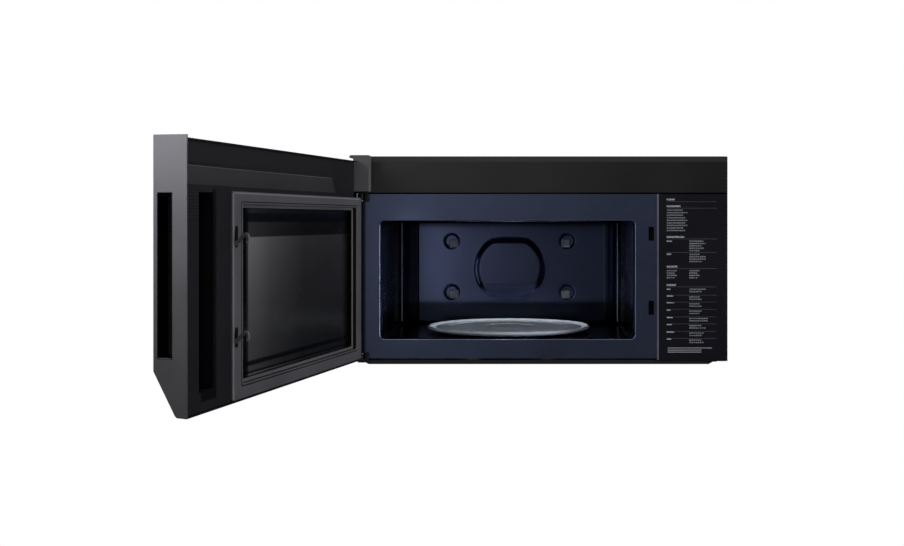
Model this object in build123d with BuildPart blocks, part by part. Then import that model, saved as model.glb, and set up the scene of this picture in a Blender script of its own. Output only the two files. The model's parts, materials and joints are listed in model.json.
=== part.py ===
"""Over-the-range microwave oven, 30 inch class, shown with its door swung open.

Frame: +X to the right, +Z up, the wall face at Y = 0 and the front at -Y.  The origin is the
middle of the wall plate's four bolt holes.  Heights below are measured from the bottom of the
case, and each finished piece is lowered by the height of that middle.  The door is modelled
closed and then swung open about its hinge axis.
"""
from build123d import *
from math import cos, radians, sin
import os

os.makedirs("parts", exist_ok=True)

# ------------------------------------------------------------------ driving dimensions (mm)
# case
case_width = 759.0
half_width = case_width / 2
case_height = 433.0
case_depth = 414.0
sheet = 1.0                  # steel sheet of the case and the cavity
touch_gap = 0.3              # air left between parts that must not bind

# wall plate and rear panel
wall_plate_thick = 1.5
wall_plate_width = 690.0
wall_plate_height = 190.0
wall_plate_bottom = 10.0
wall_hole_radius = 3.5
wall_hole_pitch = 406.4
wall_hole_rise = 120.0
hang_tab_pitch = 500.0
hang_tab_width = 28.0
hang_tab_height = 3.5
hang_tab_reach = 6.0
hang_lip_height = 7.0
hang_slot_margin = 3.0

# base plate
base_left_inset = 12.0       # the flat bottom stops this far inside the left side
base_right_inset = 39.0
base_left = half_width - base_left_inset
base_right = half_width - base_right_inset
base_slope_run = 9.0
base_rim = 8.0
base_lift = 6.0              # height of the rim above the flat bottom
base_front_inset = 3.0

# front band above the cavity
band_height = 75.7
band_bevel = 11.5
band_bevel_run = 6.0
band_depth = 22.0
band_wall = 2.5
seam = 3.2                   # shadow gap under the band

# cavity
cavity_inset = 33.5          # inner left wall, inside the case's left side
cavity_left = half_width - cavity_inset
cavity_right = 189.0
cavity_floor = 48.0
roof_drop = 131.0            # cavity roof below the top of the case
cavity_roof = case_height - roof_drop
cavity_depth = 400.0
cavity_corner = 10.0
opening_inset = 1.6          # flange lip standing inside the cavity walls
sill_rise = 3.2
opening_sill = cavity_floor + sill_rise
lintel_drop = 2.4
opening_top = cavity_roof - lintel_drop
flange_right = 232.8
flange_bottom = 12.3
dome_radius = 86.0
dome_top_radius = 70.0
dome_height = 12.0
dome_lift = 7.6              # middle of the dome above the middle of the cavity
seat_radius = 20.0
seat_depth = 4.0
seat_pitch_x = 278.3
seat_pitch_z = 123.4
seat_lift = 12.5
stud_width = 11.0
stud_height = 14.0
stud_depth = 9.0

# turntable
tray_radius = 182.0
tray_glass = 4.0
tray_rise = 9.0
tray_base_radius = 150.0
tray_height = 12.0           # underside of the tray above the cavity floor
ring_radius = 100.0
ring_width = 8.0
ring_thick = 5.0
roller_width = 8.0
roller_axle_radius = 2.0
run_clearance = 0.06
coupler_radius = 20.0
coupler_stem_radius = 4.0
motor_radius = 25.0
motor_height = 20.0
roller_count = 3

# right-hand front: label panel and trim
trim_width = 3.6
trim_proud = 0.6
label_thick = 2.5
label_bottom = 6.4

# hinge
hinge_outset = 2.1           # hinge axis, outside the case's left side
hinge_left = half_width + hinge_outset
hinge_forward = 10.0         # and in front of the front plane
pin_radius = 4.0
knuckle_radius = 7.0
knuckle_height = 14.0
bracket_thick = 3.0
bracket_leg_height = 15.0    # from the tab in the flange to the plate that carries the pin
leg_width = 5.0
bracket_inset = 12.5
bracket_right = half_width - bracket_inset
upper_bracket_drop = 93.5
upper_bracket_z = case_height - upper_bracket_drop
lower_bracket_z = 20.5
door_open_angle = 101.8

# hinge cap
cap_outset = 14.0            # the cap stands out this far past the case's left side
cap_inset = 17.5
cap_left = half_width + cap_outset
cap_right = half_width - cap_inset
cap_depth = 42.0
cap_lid = 5.0
cap_lid_overhang = 8.0
cap_wall = 2.5

# door
door_gap = 3.0
door_thick = 53.0
door_bottom = 12.0
door_top_gap = 13.0          # top of the door below the top of the case
door_top = case_height - door_top_gap
end_panel_rise = 4.5
end_panel_top = door_top + end_panel_rise
glass_rise = 2.0
glass_top = door_top + glass_rise
glass_bottom = 81.0
glass_thick = 3.2
shell_wall = 2.0
end_panel_thick = 3.0
bevel_foot = 19.0            # depth of the door where its slanted lower face starts
bevel_foot_z = 16.0
toe_depth = 16.0
toe_z = 13.0
hinge_open_drop = 66.0       # the hinge end of the door is open this far down from its top
hinge_open_z = door_top - hinge_open_drop
cap_clear_x = 39.5           # no door wall this close to the hinge axis above that height
pull_near = 24.2             # finger pull, measured from the back of the door
pull_far = 45.6
pull_bottom = 99.0
pull_top_drop = 80.4
pull_top = door_top - pull_top_drop
pull_depth = 28.0
pull_wall = 2.0
choke_inset = 15.1
choke_left = half_width - choke_inset
choke_right = 231.0
choke_top_drop = 87.3
choke_top = case_height - choke_top_drop
choke_sheet = 1.2
choke_outer_depth = 15.5
choke_inner_depth = 14.0
choke_side = 30.4
window_left = choke_left - choke_side
window_right = 195.0
window_bottom = 39.0
window_top_drop = 20.7
window_top = choke_top - window_top_drop
pane_thick = 3.0
screen_thick = 0.6
cover_left = 235.0           # left end of the moulded back cover, to the left of the middle
cover_wall = 2.5
cover_inset = 3.0
cover_step_drop = 39.0
cover_step_z = door_top - cover_step_drop
cover_step_depth = 5.0
cover_pocket_left = 291.0
cover_pocket_right = 337.0
cover_pocket_bottom = 41.0
cover_pocket_drop = 7.0
cover_pocket_top = hinge_open_z - cover_pocket_drop
cover_pocket_depth = 26.0
board_thick = 1.6
board_left = 240.0
board_right = 338.0
board_bottom = 110.0
board_top_drop = 20.0
board_top = door_top - board_top_drop
display_height = 42.0
display_drop = 28.0
board_post = 9.0
board_post_radius = 3.0

# latch
hook_x = 221.0
hook_thick = 5.0
hook_reach = 24.0            # how far the hooks stand out of the door's back
hook_arm = 8.0
hook_nose = 6.0
hook_nose_length = 6.0
upper_hook_drop = 165.0
upper_hook_z = case_height - upper_hook_drop
lower_hook_z = 114.0
latch_lift = 4.0
latch_bar_depth = 10.0
latch_slot_width = 11.3
latch_slot_below = 11.0      # slot below the hook arm's underside
latch_slot_above = 6.0       # slot above the raised arm
latch_box_left = 209.0
latch_box_right = 233.0
latch_box_depth = 40.0
latch_box_wall = 2.0
switch_thick = 10.0
plunger_radius = 1.6
plunger_length = 13.0
plunger_travel = 2.0
spring_radius = 3.5
spring_wire = 0.5
spring_turns = 8

# component bay
waveguide_depth = 36.0
waveguide_width = 92.0
waveguide_bottom = 178.0
waveguide_rise = 38.0        # top of the waveguide above the middle of the magnetron
feed_height = 44.0
feed_width = 84.0
antenna_radius = 9.0
magnetron_drop = 18.0        # middle of the magnetron below the cavity roof
magnetron_centre_z = cavity_roof - magnetron_drop
waveguide_top = magnetron_centre_z + waveguide_rise
magnetron_core_radius = 20.0
yoke_length = 74.0
yoke_width = 84.0
yoke_height = 68.0
yoke_sheet = 2.0
fin_count = 7
fin_thick = 0.8
transformer_length = 104.0
transformer_depth = 90.0
transformer_height = 88.0
transformer_left = 218.0
transformer_rear = 74.0
capacitor_width = 34.0
capacitor_depth = 92.0
capacitor_height = 52.0
capacitor_left = 300.0
capacitor_front = 110.0
fan_radius = 50.0
fan_depth = 18.0
fan_blades = 7
blade_chord = 16.0
blade_thick = 1.6
blade_pitch = 35.0
fan_x = 290.0
fan_rear = 46.0              # shroud plate, in front of the wall face
fan_motor_depth = 26.0
fan_motor_width = 56.0
power_board_width = 112.0
power_board_height = 150.0
power_board_drop = 263.0
power_board_bottom = case_height - power_board_drop

# ventilation
blower_radius = 34.0
blower_length = 66.0
blower_blades = 20
blower_shaft_radius = 4.0
blower_motor_radius = 30.0
blower_motor_length = 70.0
blower_foot = 8.0
scroll_gap = 8.0
scroll_wall = 2.0
scroll_length = 80.0
scroll_spacing = 82.0        # middle of each scroll from the middle of the case
duct_width = 254.0
duct_depth = 83.0
duct_rear = 17.0
collar_height = 28.0
collar_wall = 1.5
flap_thick = 1.5
flap_axle_radius = 2.0
filter_width = 130.0
filter_depth = 250.0
filter_thick = 8.0
filter_front = 84.0          # front edge behind the front plane
filter_left_x = -280.0
filter_right_x = 85.0
lamp_radius = 24.0
lamp_inset = 48.0
lens_thick = 3.0
charcoal_width = 300.0
charcoal_thick = 20.0
gland_radius = 9.0
gland_bore = 4.0
gland_height = 12.0
nut_pitch = 520.0
nut_radius = 8.0
nut_bore = 3.175
nut_height = 9.0
nut_front = 150.0

# fasteners
screw_head_radius = 3.5
screw_head_height = 1.6
screw_shank_radius = 1.6
screw_length = 6.0
screw_row_z = 24.0
screw_row_inset = 60.0

# ------------------------------------------------------------------ derived places
front_y = -case_depth
rear_inner_y = -wall_plate_thick - sheet       # front face of the rear panel
wall_hole_z = wall_plate_bottom + wall_plate_height / 2
turntable_x = (cavity_right - cavity_left) / 2
cavity_rear_y = front_y + cavity_depth
turntable_y = front_y + cavity_depth / 2
band_bottom = case_height - band_height
flange_top = band_bottom - seam
trim_left = flange_right
label_left = trim_left + trim_width
hinge_x = -hinge_left
hinge_y = front_y - hinge_forward
door_back = front_y - door_gap
door_front = door_back - door_thick
shell_front = door_front + glass_thick
end_panel_left = half_width - end_panel_thick
roller_radius = (tray_height - 2 * touch_gap) / 2
hinge_axis = Axis((hinge_x, hinge_y, 0), (0, 0, 1))
low_corner = (Align.MIN, Align.MIN, Align.MIN)
bay_left = cavity_right + sheet


def block(x_low, x_high, y_low, y_high, z_low, z_high, mode=Mode.ADD):
    """A box between two corners, added to the part being built."""
    with Locations((x_low, y_low, z_low)):
        Box(x_high - x_low, y_high - y_low, z_high - z_low, align=low_corner, mode=mode)


def rod(centre, direction, radius, length, mode=Mode.ADD):
    """A cylinder from its centre along a direction, added to the part being built."""
    with BuildSketch(Plane(origin=centre, z_dir=direction)) as rod_end:
        Circle(radius)
    extrude(rod_end.sketch, amount=length, mode=mode)


def save(piece, name):
    """Lower one finished piece into the part's frame, name it and write it."""
    piece.part = piece.part.moved(Location((0, 0, -wall_hole_z)))
    piece.part.label = name
    export_step(piece.part, f"parts/{name}.step")


def save_open(piece, name):
    """Swing one piece of the closed door to the open pose, name it and write it."""
    piece.part = piece.part.rotate(hinge_axis, -door_open_angle)
    save(piece, name)


# ------------------------------------------------------------------ case
wrap_foot = base_lift + sheet
side_top = case_height - sheet - touch_gap     # the top sheet lies on the side sheets
duct_front_y = -duct_rear - duct_depth
gland_x = -half_width + 60.0
gland_y = -60.0
screw_rows = (-screw_row_inset, front_y + screw_row_inset)

with BuildPart() as case_wrap:
    block(-half_width, -half_width + sheet, front_y, rear_inner_y, base_lift, side_top)
    block(half_width - sheet, half_width, front_y, rear_inner_y, base_lift, side_top)
    block(-half_width, half_width, front_y + band_depth, rear_inner_y, case_height - sheet, case_height)
    block(-half_width, -base_left, front_y + band_depth, rear_inner_y, base_lift, wrap_foot)
    block(base_right + base_slope_run, half_width, front_y + band_depth, rear_inner_y, base_lift, wrap_foot)
    block(-duct_width / 2, duct_width / 2, duct_front_y, -duct_rear,
          case_height - sheet, case_height, Mode.SUBTRACT)
    for nut_x in (-nut_pitch / 2, nut_pitch / 2):
        nut_mouth = (nut_x, front_y + nut_front, case_height - nut_height)
        rod(nut_mouth, (0, 0, 1), nut_radius, nut_height - sheet)
        rod(nut_mouth, (0, 0, 1), nut_bore, nut_height, Mode.SUBTRACT)
    rod((gland_x, gland_y, case_height - sheet), (0, 0, 1), gland_radius, sheet, Mode.SUBTRACT)
    for side in (-1, 1):
        for row_y in screw_rows:
            rod((side * half_width, row_y, screw_row_z), (-side, 0, 0), screw_shank_radius, sheet,
                Mode.SUBTRACT)
save(case_wrap, "case_wrap")

hang_tab_bottom = wall_plate_bottom + hang_slot_margin
with BuildPart() as rear_panel:
    block(-half_width, half_width, rear_inner_y, -wall_plate_thick, base_lift, case_height)
    for side in (-1, 1):
        slot_x = side * hang_tab_pitch / 2
        slot_half = hang_tab_width / 2 + hang_slot_margin
        block(slot_x - slot_half, slot_x + slot_half, rear_inner_y, -wall_plate_thick,
              wall_plate_bottom, hang_tab_bottom + hang_tab_height + hang_lip_height + hang_slot_margin,
              Mode.SUBTRACT)
    with BuildSketch(Plane.XZ.offset(wall_plate_thick)):
        with Locations((0, case_height * 0.8)):
            with GridLocations(26, 14, 9, 3):
                SlotOverall(18, 5)
    extrude(amount=sheet, mode=Mode.SUBTRACT)
save(rear_panel, "rear_panel")

with BuildPart() as wall_plate:
    with BuildSketch(Plane.XZ):
        with Locations((0, wall_hole_z)):
            RectangleRounded(wall_plate_width, wall_plate_height, 6)
            with GridLocations(wall_hole_pitch, wall_hole_rise, 2, 2):
                Circle(wall_hole_radius, mode=Mode.SUBTRACT)
    extrude(amount=wall_plate_thick)
    for side in (-1, 1):
        tab_left = side * hang_tab_pitch / 2 - hang_tab_width / 2
        tab_tip = -wall_plate_thick - sheet - hang_tab_reach
        block(tab_left, tab_left + hang_tab_width, tab_tip, -wall_plate_thick,
              hang_tab_bottom, hang_tab_bottom + hang_tab_height)
        block(tab_left, tab_left + hang_tab_width, tab_tip, tab_tip + wall_plate_thick,
              hang_tab_bottom, hang_tab_bottom + hang_tab_height + hang_lip_height)
save(wall_plate, "wall_plate")

lamp_z = sheet
lamp_y = front_y + lamp_inset
lamp_places = [(-160.0, lamp_y), (0.0, lamp_y)]
filter_low_y = front_y + filter_front
filter_rim = 6.0             # how far the filters lap over the edge of their openings
with BuildPart() as base_plate:
    slope_top_left = -base_left - base_slope_run
    slope_top_right = base_right + base_slope_run
    with BuildSketch(Plane.XZ.offset(-rear_inner_y)):
        with BuildLine():
            Polyline((slope_top_left + sheet, base_lift), (-base_left + sheet, sheet),
                     (base_right - sheet, sheet), (slope_top_right - sheet, base_lift),
                     (slope_top_right + base_rim, base_lift), (slope_top_right + base_rim, base_lift - sheet),
                     (slope_top_right, base_lift - sheet), (base_right, 0),
                     (-base_left, 0), (slope_top_left, base_lift - sheet),
                     (slope_top_left - sheet, base_lift - sheet), (slope_top_left - sheet, base_lift),
                     close=True)
        make_face()
    extrude(amount=case_depth + rear_inner_y - base_front_inset)
    block(-base_left, base_right, front_y + base_front_inset, front_y + base_front_inset + sheet,
          0, flange_bottom - seam)
    for filter_x in (filter_left_x, filter_right_x):
        block(filter_x - filter_width / 2 + filter_rim, filter_x + filter_width / 2 - filter_rim,
              filter_low_y + filter_rim, filter_low_y + filter_depth - filter_rim,
              0, sheet, Mode.SUBTRACT)
    for lamp_x, lamp_place_y in lamp_places:
        rod((lamp_x, lamp_place_y, 0), (0, 0, 1), lamp_radius, sheet, Mode.SUBTRACT)
save(base_plate, "base_plate")

rail_height = cavity_floor - sheet - sheet
rail_width = 22.0
rail_xs = (-190.0, -20.0)
rail_front_inset = 90.0
rail_rear = 30.0
with BuildPart() as cavity_supports:
    for rail_x in rail_xs:
        for rail_side in (-rail_width / 2, rail_width / 2 - sheet):
            block(rail_x + rail_side, rail_x + rail_side + sheet, front_y + rail_front_inset, -rail_rear,
                  sheet, cavity_floor - sheet)
        block(rail_x - rail_width / 2, rail_x + rail_width / 2, front_y + rail_front_inset, -rail_rear,
              cavity_floor - 2 * sheet, cavity_floor - sheet)
save(cavity_supports, "cavity_supports")

# ------------------------------------------------------------------ front band
band_left = -half_width + sheet
band_right = half_width - sheet
with BuildPart() as front_band:
    with BuildSketch(Plane.YZ.offset(band_left)):
        with BuildLine():
            Polyline((front_y, band_bottom), (front_y, case_height - band_bevel),
                     (front_y + band_bevel_run, case_height), (front_y + band_depth, case_height),
                     (front_y + band_depth, case_height - band_wall),
                     (front_y + band_bevel_run + band_wall / 2, case_height - band_wall),
                     (front_y + band_wall, case_height - band_bevel - band_wall / 2),
                     (front_y + band_wall, band_bottom + band_wall),
                     (front_y + band_depth, band_bottom + band_wall), (front_y + band_depth, band_bottom),
                     close=True)
        make_face()
    extrude(amount=band_right - band_left)
save(front_band, "front_band")

# ------------------------------------------------------------------ cavity
latch_slots = []
for hook_z in (upper_hook_z, lower_hook_z):
    latch_slots.append((hook_z - latch_slot_below, hook_z + hook_arm + latch_lift + latch_slot_above))
bracket_slot_height = bracket_thick + 2.0
opening_left = -cavity_left + opening_inset
opening_right = cavity_right - opening_inset
flange_left = -half_width + sheet
with BuildPart() as cavity_flange:
    block(flange_left, flange_right, front_y, front_y + sheet, flange_bottom, flange_top)
    block(flange_left, flange_right, front_y, front_y + band_depth, flange_top - sheet, flange_top)
    block(flange_left, flange_left + sheet, front_y, front_y + band_depth, flange_bottom, flange_top)
    block(flange_left, flange_right, front_y, front_y + band_depth, flange_bottom, flange_bottom + sheet)
    with BuildSketch(Plane.XZ.offset(-front_y)):
        with Locations(((opening_left + opening_right) / 2, (opening_sill + opening_top) / 2)):
            RectangleRounded(opening_right - opening_left, opening_top - opening_sill, cavity_corner)
    extrude(amount=-sheet, mode=Mode.SUBTRACT)
    for slot_low, slot_high in latch_slots:
        block(hook_x - latch_slot_width / 2, hook_x + latch_slot_width / 2,
              front_y, front_y + sheet, slot_low, slot_high, Mode.SUBTRACT)
    for bracket_z in (upper_bracket_z, lower_bracket_z):
        block(flange_left + sheet, -bracket_right + 1.0, front_y, front_y + sheet,
              bracket_z - 1.0, bracket_z - 1.0 + bracket_slot_height, Mode.SUBTRACT)
save(cavity_flange, "cavity_flange")

cavity_mid_z = (cavity_floor + cavity_roof) / 2
dome_centre_z = cavity_mid_z + dome_lift
seat_centre_z = cavity_mid_z + seat_lift
cavity_width = cavity_left + cavity_right
cavity_height = cavity_roof - cavity_floor
waveguide_y = front_y + cavity_depth / 2
feed_low_z = waveguide_bottom + 6.0
vent_hole_radius = 1.6
vent_hole_pitch = 5.0
vent_y = front_y + cavity_depth - 50.0
vent_z = 252.0
floor_seam_z = cavity_floor + cavity_corner
roof_seam_z = cavity_roof - cavity_corner
seat_places = [(turntable_x + sx * seat_pitch_x / 2, seat_centre_z + sz * seat_pitch_z / 2)
               for sx in (-1, 1) for sz in (-1, 1)]
with BuildPart() as cavity_liner:
    with BuildSketch(Plane.XZ.offset(-front_y - sheet)):
        with Locations((turntable_x, cavity_mid_z)):
            RectangleRounded(cavity_width + 2 * sheet, cavity_height + 2 * sheet, cavity_corner + sheet)
    extrude(amount=-cavity_depth)
    fillet(faces().sort_by(Axis.Y)[-1].edges(), cavity_corner + sheet)
    offset(amount=-sheet, openings=faces().sort_by(Axis.Y)[0])
    for seat_x, seat_z in seat_places:
        rod((seat_x, cavity_rear_y, seat_z), (0, 1, 0), seat_radius + sheet, seat_depth + sheet)
        rod((seat_x, cavity_rear_y, seat_z), (0, 1, 0), seat_radius, seat_depth, Mode.SUBTRACT)
    with BuildSketch(Plane.XZ.offset(-cavity_rear_y)):
        with Locations((turntable_x, dome_centre_z)):
            Circle(dome_radius)
    with BuildSketch(Plane.XZ.offset(-cavity_rear_y + dome_height)):
        with Locations((turntable_x, dome_centre_z)):
            Circle(dome_top_radius)
    loft()
    with BuildSketch(Plane.XZ.offset(-cavity_rear_y - sheet)):
        with Locations((turntable_x, dome_centre_z)):
            Circle(dome_radius - sheet)
    with BuildSketch(Plane.XZ.offset(-cavity_rear_y + dome_height - sheet)):
        with Locations((turntable_x, dome_centre_z)):
            Circle(dome_top_radius - sheet)
    loft(mode=Mode.SUBTRACT)
    rod((turntable_x, turntable_y, cavity_floor - sheet), (0, 0, 1), coupler_stem_radius + 4.0,
        sheet, Mode.SUBTRACT)
    block(cavity_right, cavity_right + sheet, waveguide_y - feed_width / 2, waveguide_y + feed_width / 2,
          feed_low_z, feed_low_z + feed_height, Mode.SUBTRACT)
    with BuildSketch(Plane.YZ.offset(-cavity_left - sheet)):
        with Locations((vent_y, vent_z)):
            with GridLocations(vent_hole_pitch, vent_hole_pitch, 4, 5):
                Circle(vent_hole_radius)
    extrude(amount=sheet, mode=Mode.SUBTRACT)
    # the floor pan, the roof pan, two side walls and the rear wall meet at thin seams
    for seam_z in (floor_seam_z, roof_seam_z):
        block(-cavity_left - sheet, cavity_right + sheet, front_y + sheet, cavity_rear_y + sheet,
              seam_z, seam_z + touch_gap, Mode.SUBTRACT)
    for seam_x in (-cavity_left + cavity_corner, cavity_right - cavity_corner - touch_gap):
        block(seam_x, seam_x + touch_gap, cavity_rear_y, cavity_rear_y + sheet,
              floor_seam_z, roof_seam_z, Mode.SUBTRACT)
save(cavity_liner, "cavity_liner")

with BuildPart() as rack_studs:
    for seat_x, seat_z in seat_places:
        block(seat_x - stud_width / 2, seat_x + stud_width / 2,
              cavity_rear_y + seat_depth - stud_depth, cavity_rear_y + seat_depth,
              seat_z - stud_height / 2, seat_z + stud_height / 2)
save(rack_studs, "rack_studs")

cover_margin = 8.0
with BuildPart() as waveguide_cover:
    block(cavity_right - sheet, cavity_right,
          waveguide_y - feed_width / 2 - cover_margin, waveguide_y + feed_width / 2 + cover_margin,
          feed_low_z - cover_margin, feed_low_z + feed_height + cover_margin)
save(waveguide_cover, "waveguide_cover")

# ------------------------------------------------------------------ right-hand front
with BuildPart() as trim_strip:
    block(trim_left, label_left, front_y - trim_proud, front_y + label_thick,
          flange_bottom - seam, flange_top)
save(trim_strip, "trim_strip")

with BuildPart() as label_panel:
    block(label_left, band_right, front_y, front_y + label_thick, label_bottom, flange_top)
    block(label_left, label_left + label_thick, front_y, front_y + band_depth, flange_bottom, flange_top)
    block(label_left, band_right, front_y, front_y + band_depth, flange_top - label_thick, flange_top)
    corner_edges = edges().filter_by(Axis.Y).group_by(Axis.Z)[0].sort_by(Axis.X)
    chamfer(corner_edges[-1], 3)
save(label_panel, "label_panel")

# ------------------------------------------------------------------ hinge
with BuildPart() as hinge_brackets:
    for tab_z, way in ((upper_bracket_z, 1), (lower_bracket_z, -1)):
        tab_low, tab_high = tab_z, tab_z + bracket_thick
        plate_z = tab_z + way * bracket_leg_height
        leg_low, leg_high = min(tab_low, plate_z), max(tab_high, plate_z + bracket_thick)
        pin_start = plate_z if way > 0 else plate_z + bracket_thick
        block(-half_width + 2 * sheet, -bracket_right, front_y - touch_gap, front_y + 3 * sheet,
              tab_low, tab_high)
        block(-bracket_right - leg_width, -bracket_right, hinge_y - knuckle_radius, front_y - touch_gap,
              leg_low, leg_high)
        block(hinge_x, -bracket_right, hinge_y - knuckle_radius, front_y - touch_gap,
              plate_z, plate_z + bracket_thick)
        rod((hinge_x, hinge_y, plate_z), (0, 0, 1), knuckle_radius, bracket_thick)
        rod((hinge_x, hinge_y, pin_start), (0, 0, -way), pin_radius, knuckle_height)
        block(-half_width + 2 * sheet, -cavity_left - 2 * sheet, front_y + sheet, front_y + 3 * sheet,
              tab_low - (1 + way) * leg_width, tab_high + (1 - way) * leg_width)
save(hinge_brackets, "hinge_brackets")

cap_bottom = band_bottom + 1.5
cap_front = front_y - cap_depth
with BuildPart() as hinge_cap:
    block(-cap_left, -cap_right, cap_front, front_y, cap_bottom, case_height)
    block(-cap_left + cap_wall, -cap_right - cap_wall, cap_front + cap_wall, front_y,
          cap_bottom, case_height - cap_lid, Mode.SUBTRACT)
    block(-cap_left - cap_lid_overhang, -cap_left, cap_front, front_y,
          case_height - cap_lid, case_height)
    lid_corners = edges().filter_by(Axis.Y).group_by(Axis.X)[0].sort_by(Axis.Z)
    fillet(lid_corners[-1], cap_lid - sheet)
save(hinge_cap, "hinge_cap")

# ------------------------------------------------------------------ turntable
tray_bottom = cavity_floor + tray_height
coupler_hub_height = 6.0
with BuildPart() as turntable_tray:
    with BuildSketch(Plane.XZ.offset(-turntable_y)):
        with BuildLine():
            Polyline((turntable_x, tray_bottom), (turntable_x + tray_base_radius, tray_bottom),
                     (turntable_x + tray_radius - tray_glass, tray_bottom + tray_rise - tray_glass),
                     (turntable_x + tray_radius, tray_bottom + tray_rise - tray_glass / 2),
                     (turntable_x + tray_radius, tray_bottom + tray_rise),
                     (turntable_x + tray_radius - tray_glass, tray_bottom + tray_rise),
                     (turntable_x + tray_base_radius, tray_bottom + tray_glass),
                     (turntable_x, tray_bottom + tray_glass), close=True)
        make_face()
    revolve(axis=Axis((turntable_x, turntable_y, 0), (0, 0, 1)))
save(turntable_tray, "turntable_tray")

roller_axis_z = cavity_floor + touch_gap + roller_radius
roller_near = ring_radius + ring_width / 2 + touch_gap
roller_far = roller_near + roller_width
roller_angles = [90 + 360 / roller_count * turn for turn in range(roller_count)]


def radial_point(angle, radius, height):
    """A point at this radius and height about the turntable's axis."""
    return (turntable_x + radius * cos(radians(angle)), turntable_y + radius * sin(radians(angle)), height)


def radial_way(angle):
    """The outward direction at this angle."""
    return (cos(radians(angle)), sin(radians(angle)), 0)


with BuildPart() as roller_ring:
    with BuildSketch(Plane.XY.offset(roller_axis_z - ring_thick / 2)):
        with Locations((turntable_x, turntable_y)):
            Circle(ring_radius + ring_width / 2)
            Circle(ring_radius - ring_width / 2, mode=Mode.SUBTRACT)
    extrude(amount=ring_thick)
    for roller_angle in roller_angles:
        rod(radial_point(roller_angle, ring_radius, roller_axis_z), radial_way(roller_angle),
            roller_axle_radius, roller_far + touch_gap - ring_radius)
        rod(radial_point(roller_angle, roller_far + touch_gap, roller_axis_z), radial_way(roller_angle),
            roller_axle_radius + 1.0, 1.2)
save(roller_ring, "roller_ring")

for roller_number, roller_angle in enumerate(roller_angles, start=1):
    with BuildPart() as roller:
        with BuildSketch(Plane(origin=radial_point(roller_angle, roller_near, roller_axis_z),
                               z_dir=radial_way(roller_angle))):
            Circle(roller_radius)
            Circle(roller_axle_radius + run_clearance, mode=Mode.SUBTRACT)
        extrude(amount=roller_width)
    save(roller, f"roller_{roller_number}")

stem_bottom = cavity_floor - sheet - motor_height / 2
with BuildPart() as turntable_coupler:
    rod((turntable_x, turntable_y, stem_bottom), (0, 0, 1), coupler_stem_radius, tray_bottom - stem_bottom)
    for lobe in range(3):
        lobe_point = radial_point(120 * lobe, coupler_radius / 2, tray_bottom - coupler_hub_height)
        rod(lobe_point, (0, 0, 1), coupler_radius / 2, coupler_hub_height)
save(turntable_coupler, "turntable_coupler")

with BuildPart() as turntable_motor:
    motor_base_z = cavity_floor - sheet - motor_height
    rod((turntable_x, turntable_y, motor_base_z), (0, 0, 1), motor_radius, motor_height)
    rod((turntable_x, turntable_y, stem_bottom - 0.5), (0, 0, 1), coupler_stem_radius + run_clearance,
        motor_height, Mode.SUBTRACT)
    for ear in (-1, 1):
        ear_x = turntable_x + ear * (motor_radius + 6.0)
        block(ear_x - 8.0, ear_x + 8.0, turntable_y - 6.0, turntable_y + 6.0,
              cavity_floor - 2 * sheet, cavity_floor - sheet)
save(turntable_motor, "turntable_motor")

# ------------------------------------------------------------------ latch in the body
box_bottom = latch_slots[1][0] - 8.0
box_top = latch_slots[0][1] + 8.0
switch_front_y = front_y + latch_box_depth - switch_thick
plunger_tip_y = door_back + hook_reach + 0.8
plunger_end_y = plunger_tip_y + plunger_length
with BuildPart() as latch_housing:
    block(latch_box_left, latch_box_right - trim_width / 2, front_y + sheet, front_y + latch_box_depth,
          box_bottom, box_top)
    for slot_low, slot_high in latch_slots:
        block(latch_box_left + latch_box_wall, latch_box_right - trim_width / 2 - latch_box_wall,
              front_y + sheet, front_y + latch_box_depth, slot_low, slot_high, Mode.SUBTRACT)
save(latch_housing, "latch_housing")

with BuildPart() as interlock_switches:
    for slot_low, slot_high in latch_slots:
        block(latch_box_left + latch_box_wall, latch_box_right - trim_width / 2 - latch_box_wall,
              switch_front_y, front_y + latch_box_depth, slot_low, slot_high)
    for hook_z in (upper_hook_z, lower_hook_z):
        rod((hook_x, switch_front_y, hook_z + hook_arm / 2), (0, 1, 0), plunger_radius + run_clearance,
            plunger_end_y + plunger_travel + touch_gap - switch_front_y, Mode.SUBTRACT)
save(interlock_switches, "interlock_switches")

for plunger_name, hook_z in (("upper", upper_hook_z), ("lower", lower_hook_z)):
    with BuildPart() as switch_plunger:
        rod((hook_x, plunger_tip_y, hook_z + hook_arm / 2), (0, 1, 0), plunger_radius, plunger_length)
    save(switch_plunger, f"switch_plunger_{plunger_name}")

# ------------------------------------------------------------------ microwave source
waveguide_right = bay_left + waveguide_depth
with BuildPart() as waveguide:
    block(bay_left, waveguide_right, waveguide_y - waveguide_width / 2, waveguide_y + waveguide_width / 2,
          waveguide_bottom, waveguide_top)
    block(bay_left, waveguide_right - sheet, waveguide_y - waveguide_width / 2 + sheet,
          waveguide_y + waveguide_width / 2 - sheet, waveguide_bottom + sheet, waveguide_top - sheet,
          Mode.SUBTRACT)
    rod((waveguide_right - sheet, waveguide_y, magnetron_centre_z), (1, 0, 0), antenna_radius + 3.0,
        sheet, Mode.SUBTRACT)
save(waveguide, "waveguide")

yoke_right = waveguide_right + yoke_length
with BuildPart() as magnetron_yoke:
    with BuildSketch(Plane.XZ.offset(-waveguide_y - yoke_width / 2)):
        with Locations((waveguide_right + yoke_length / 2, magnetron_centre_z)):
            Rectangle(yoke_length, yoke_height)
            Rectangle(yoke_length - 2 * yoke_sheet, yoke_height - 2 * yoke_sheet, mode=Mode.SUBTRACT)
    extrude(amount=yoke_width)
    rod((waveguide_right, waveguide_y, magnetron_centre_z), (1, 0, 0), antenna_radius + 3.0,
        yoke_sheet, Mode.SUBTRACT)
save(magnetron_yoke, "magnetron_yoke")

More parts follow.
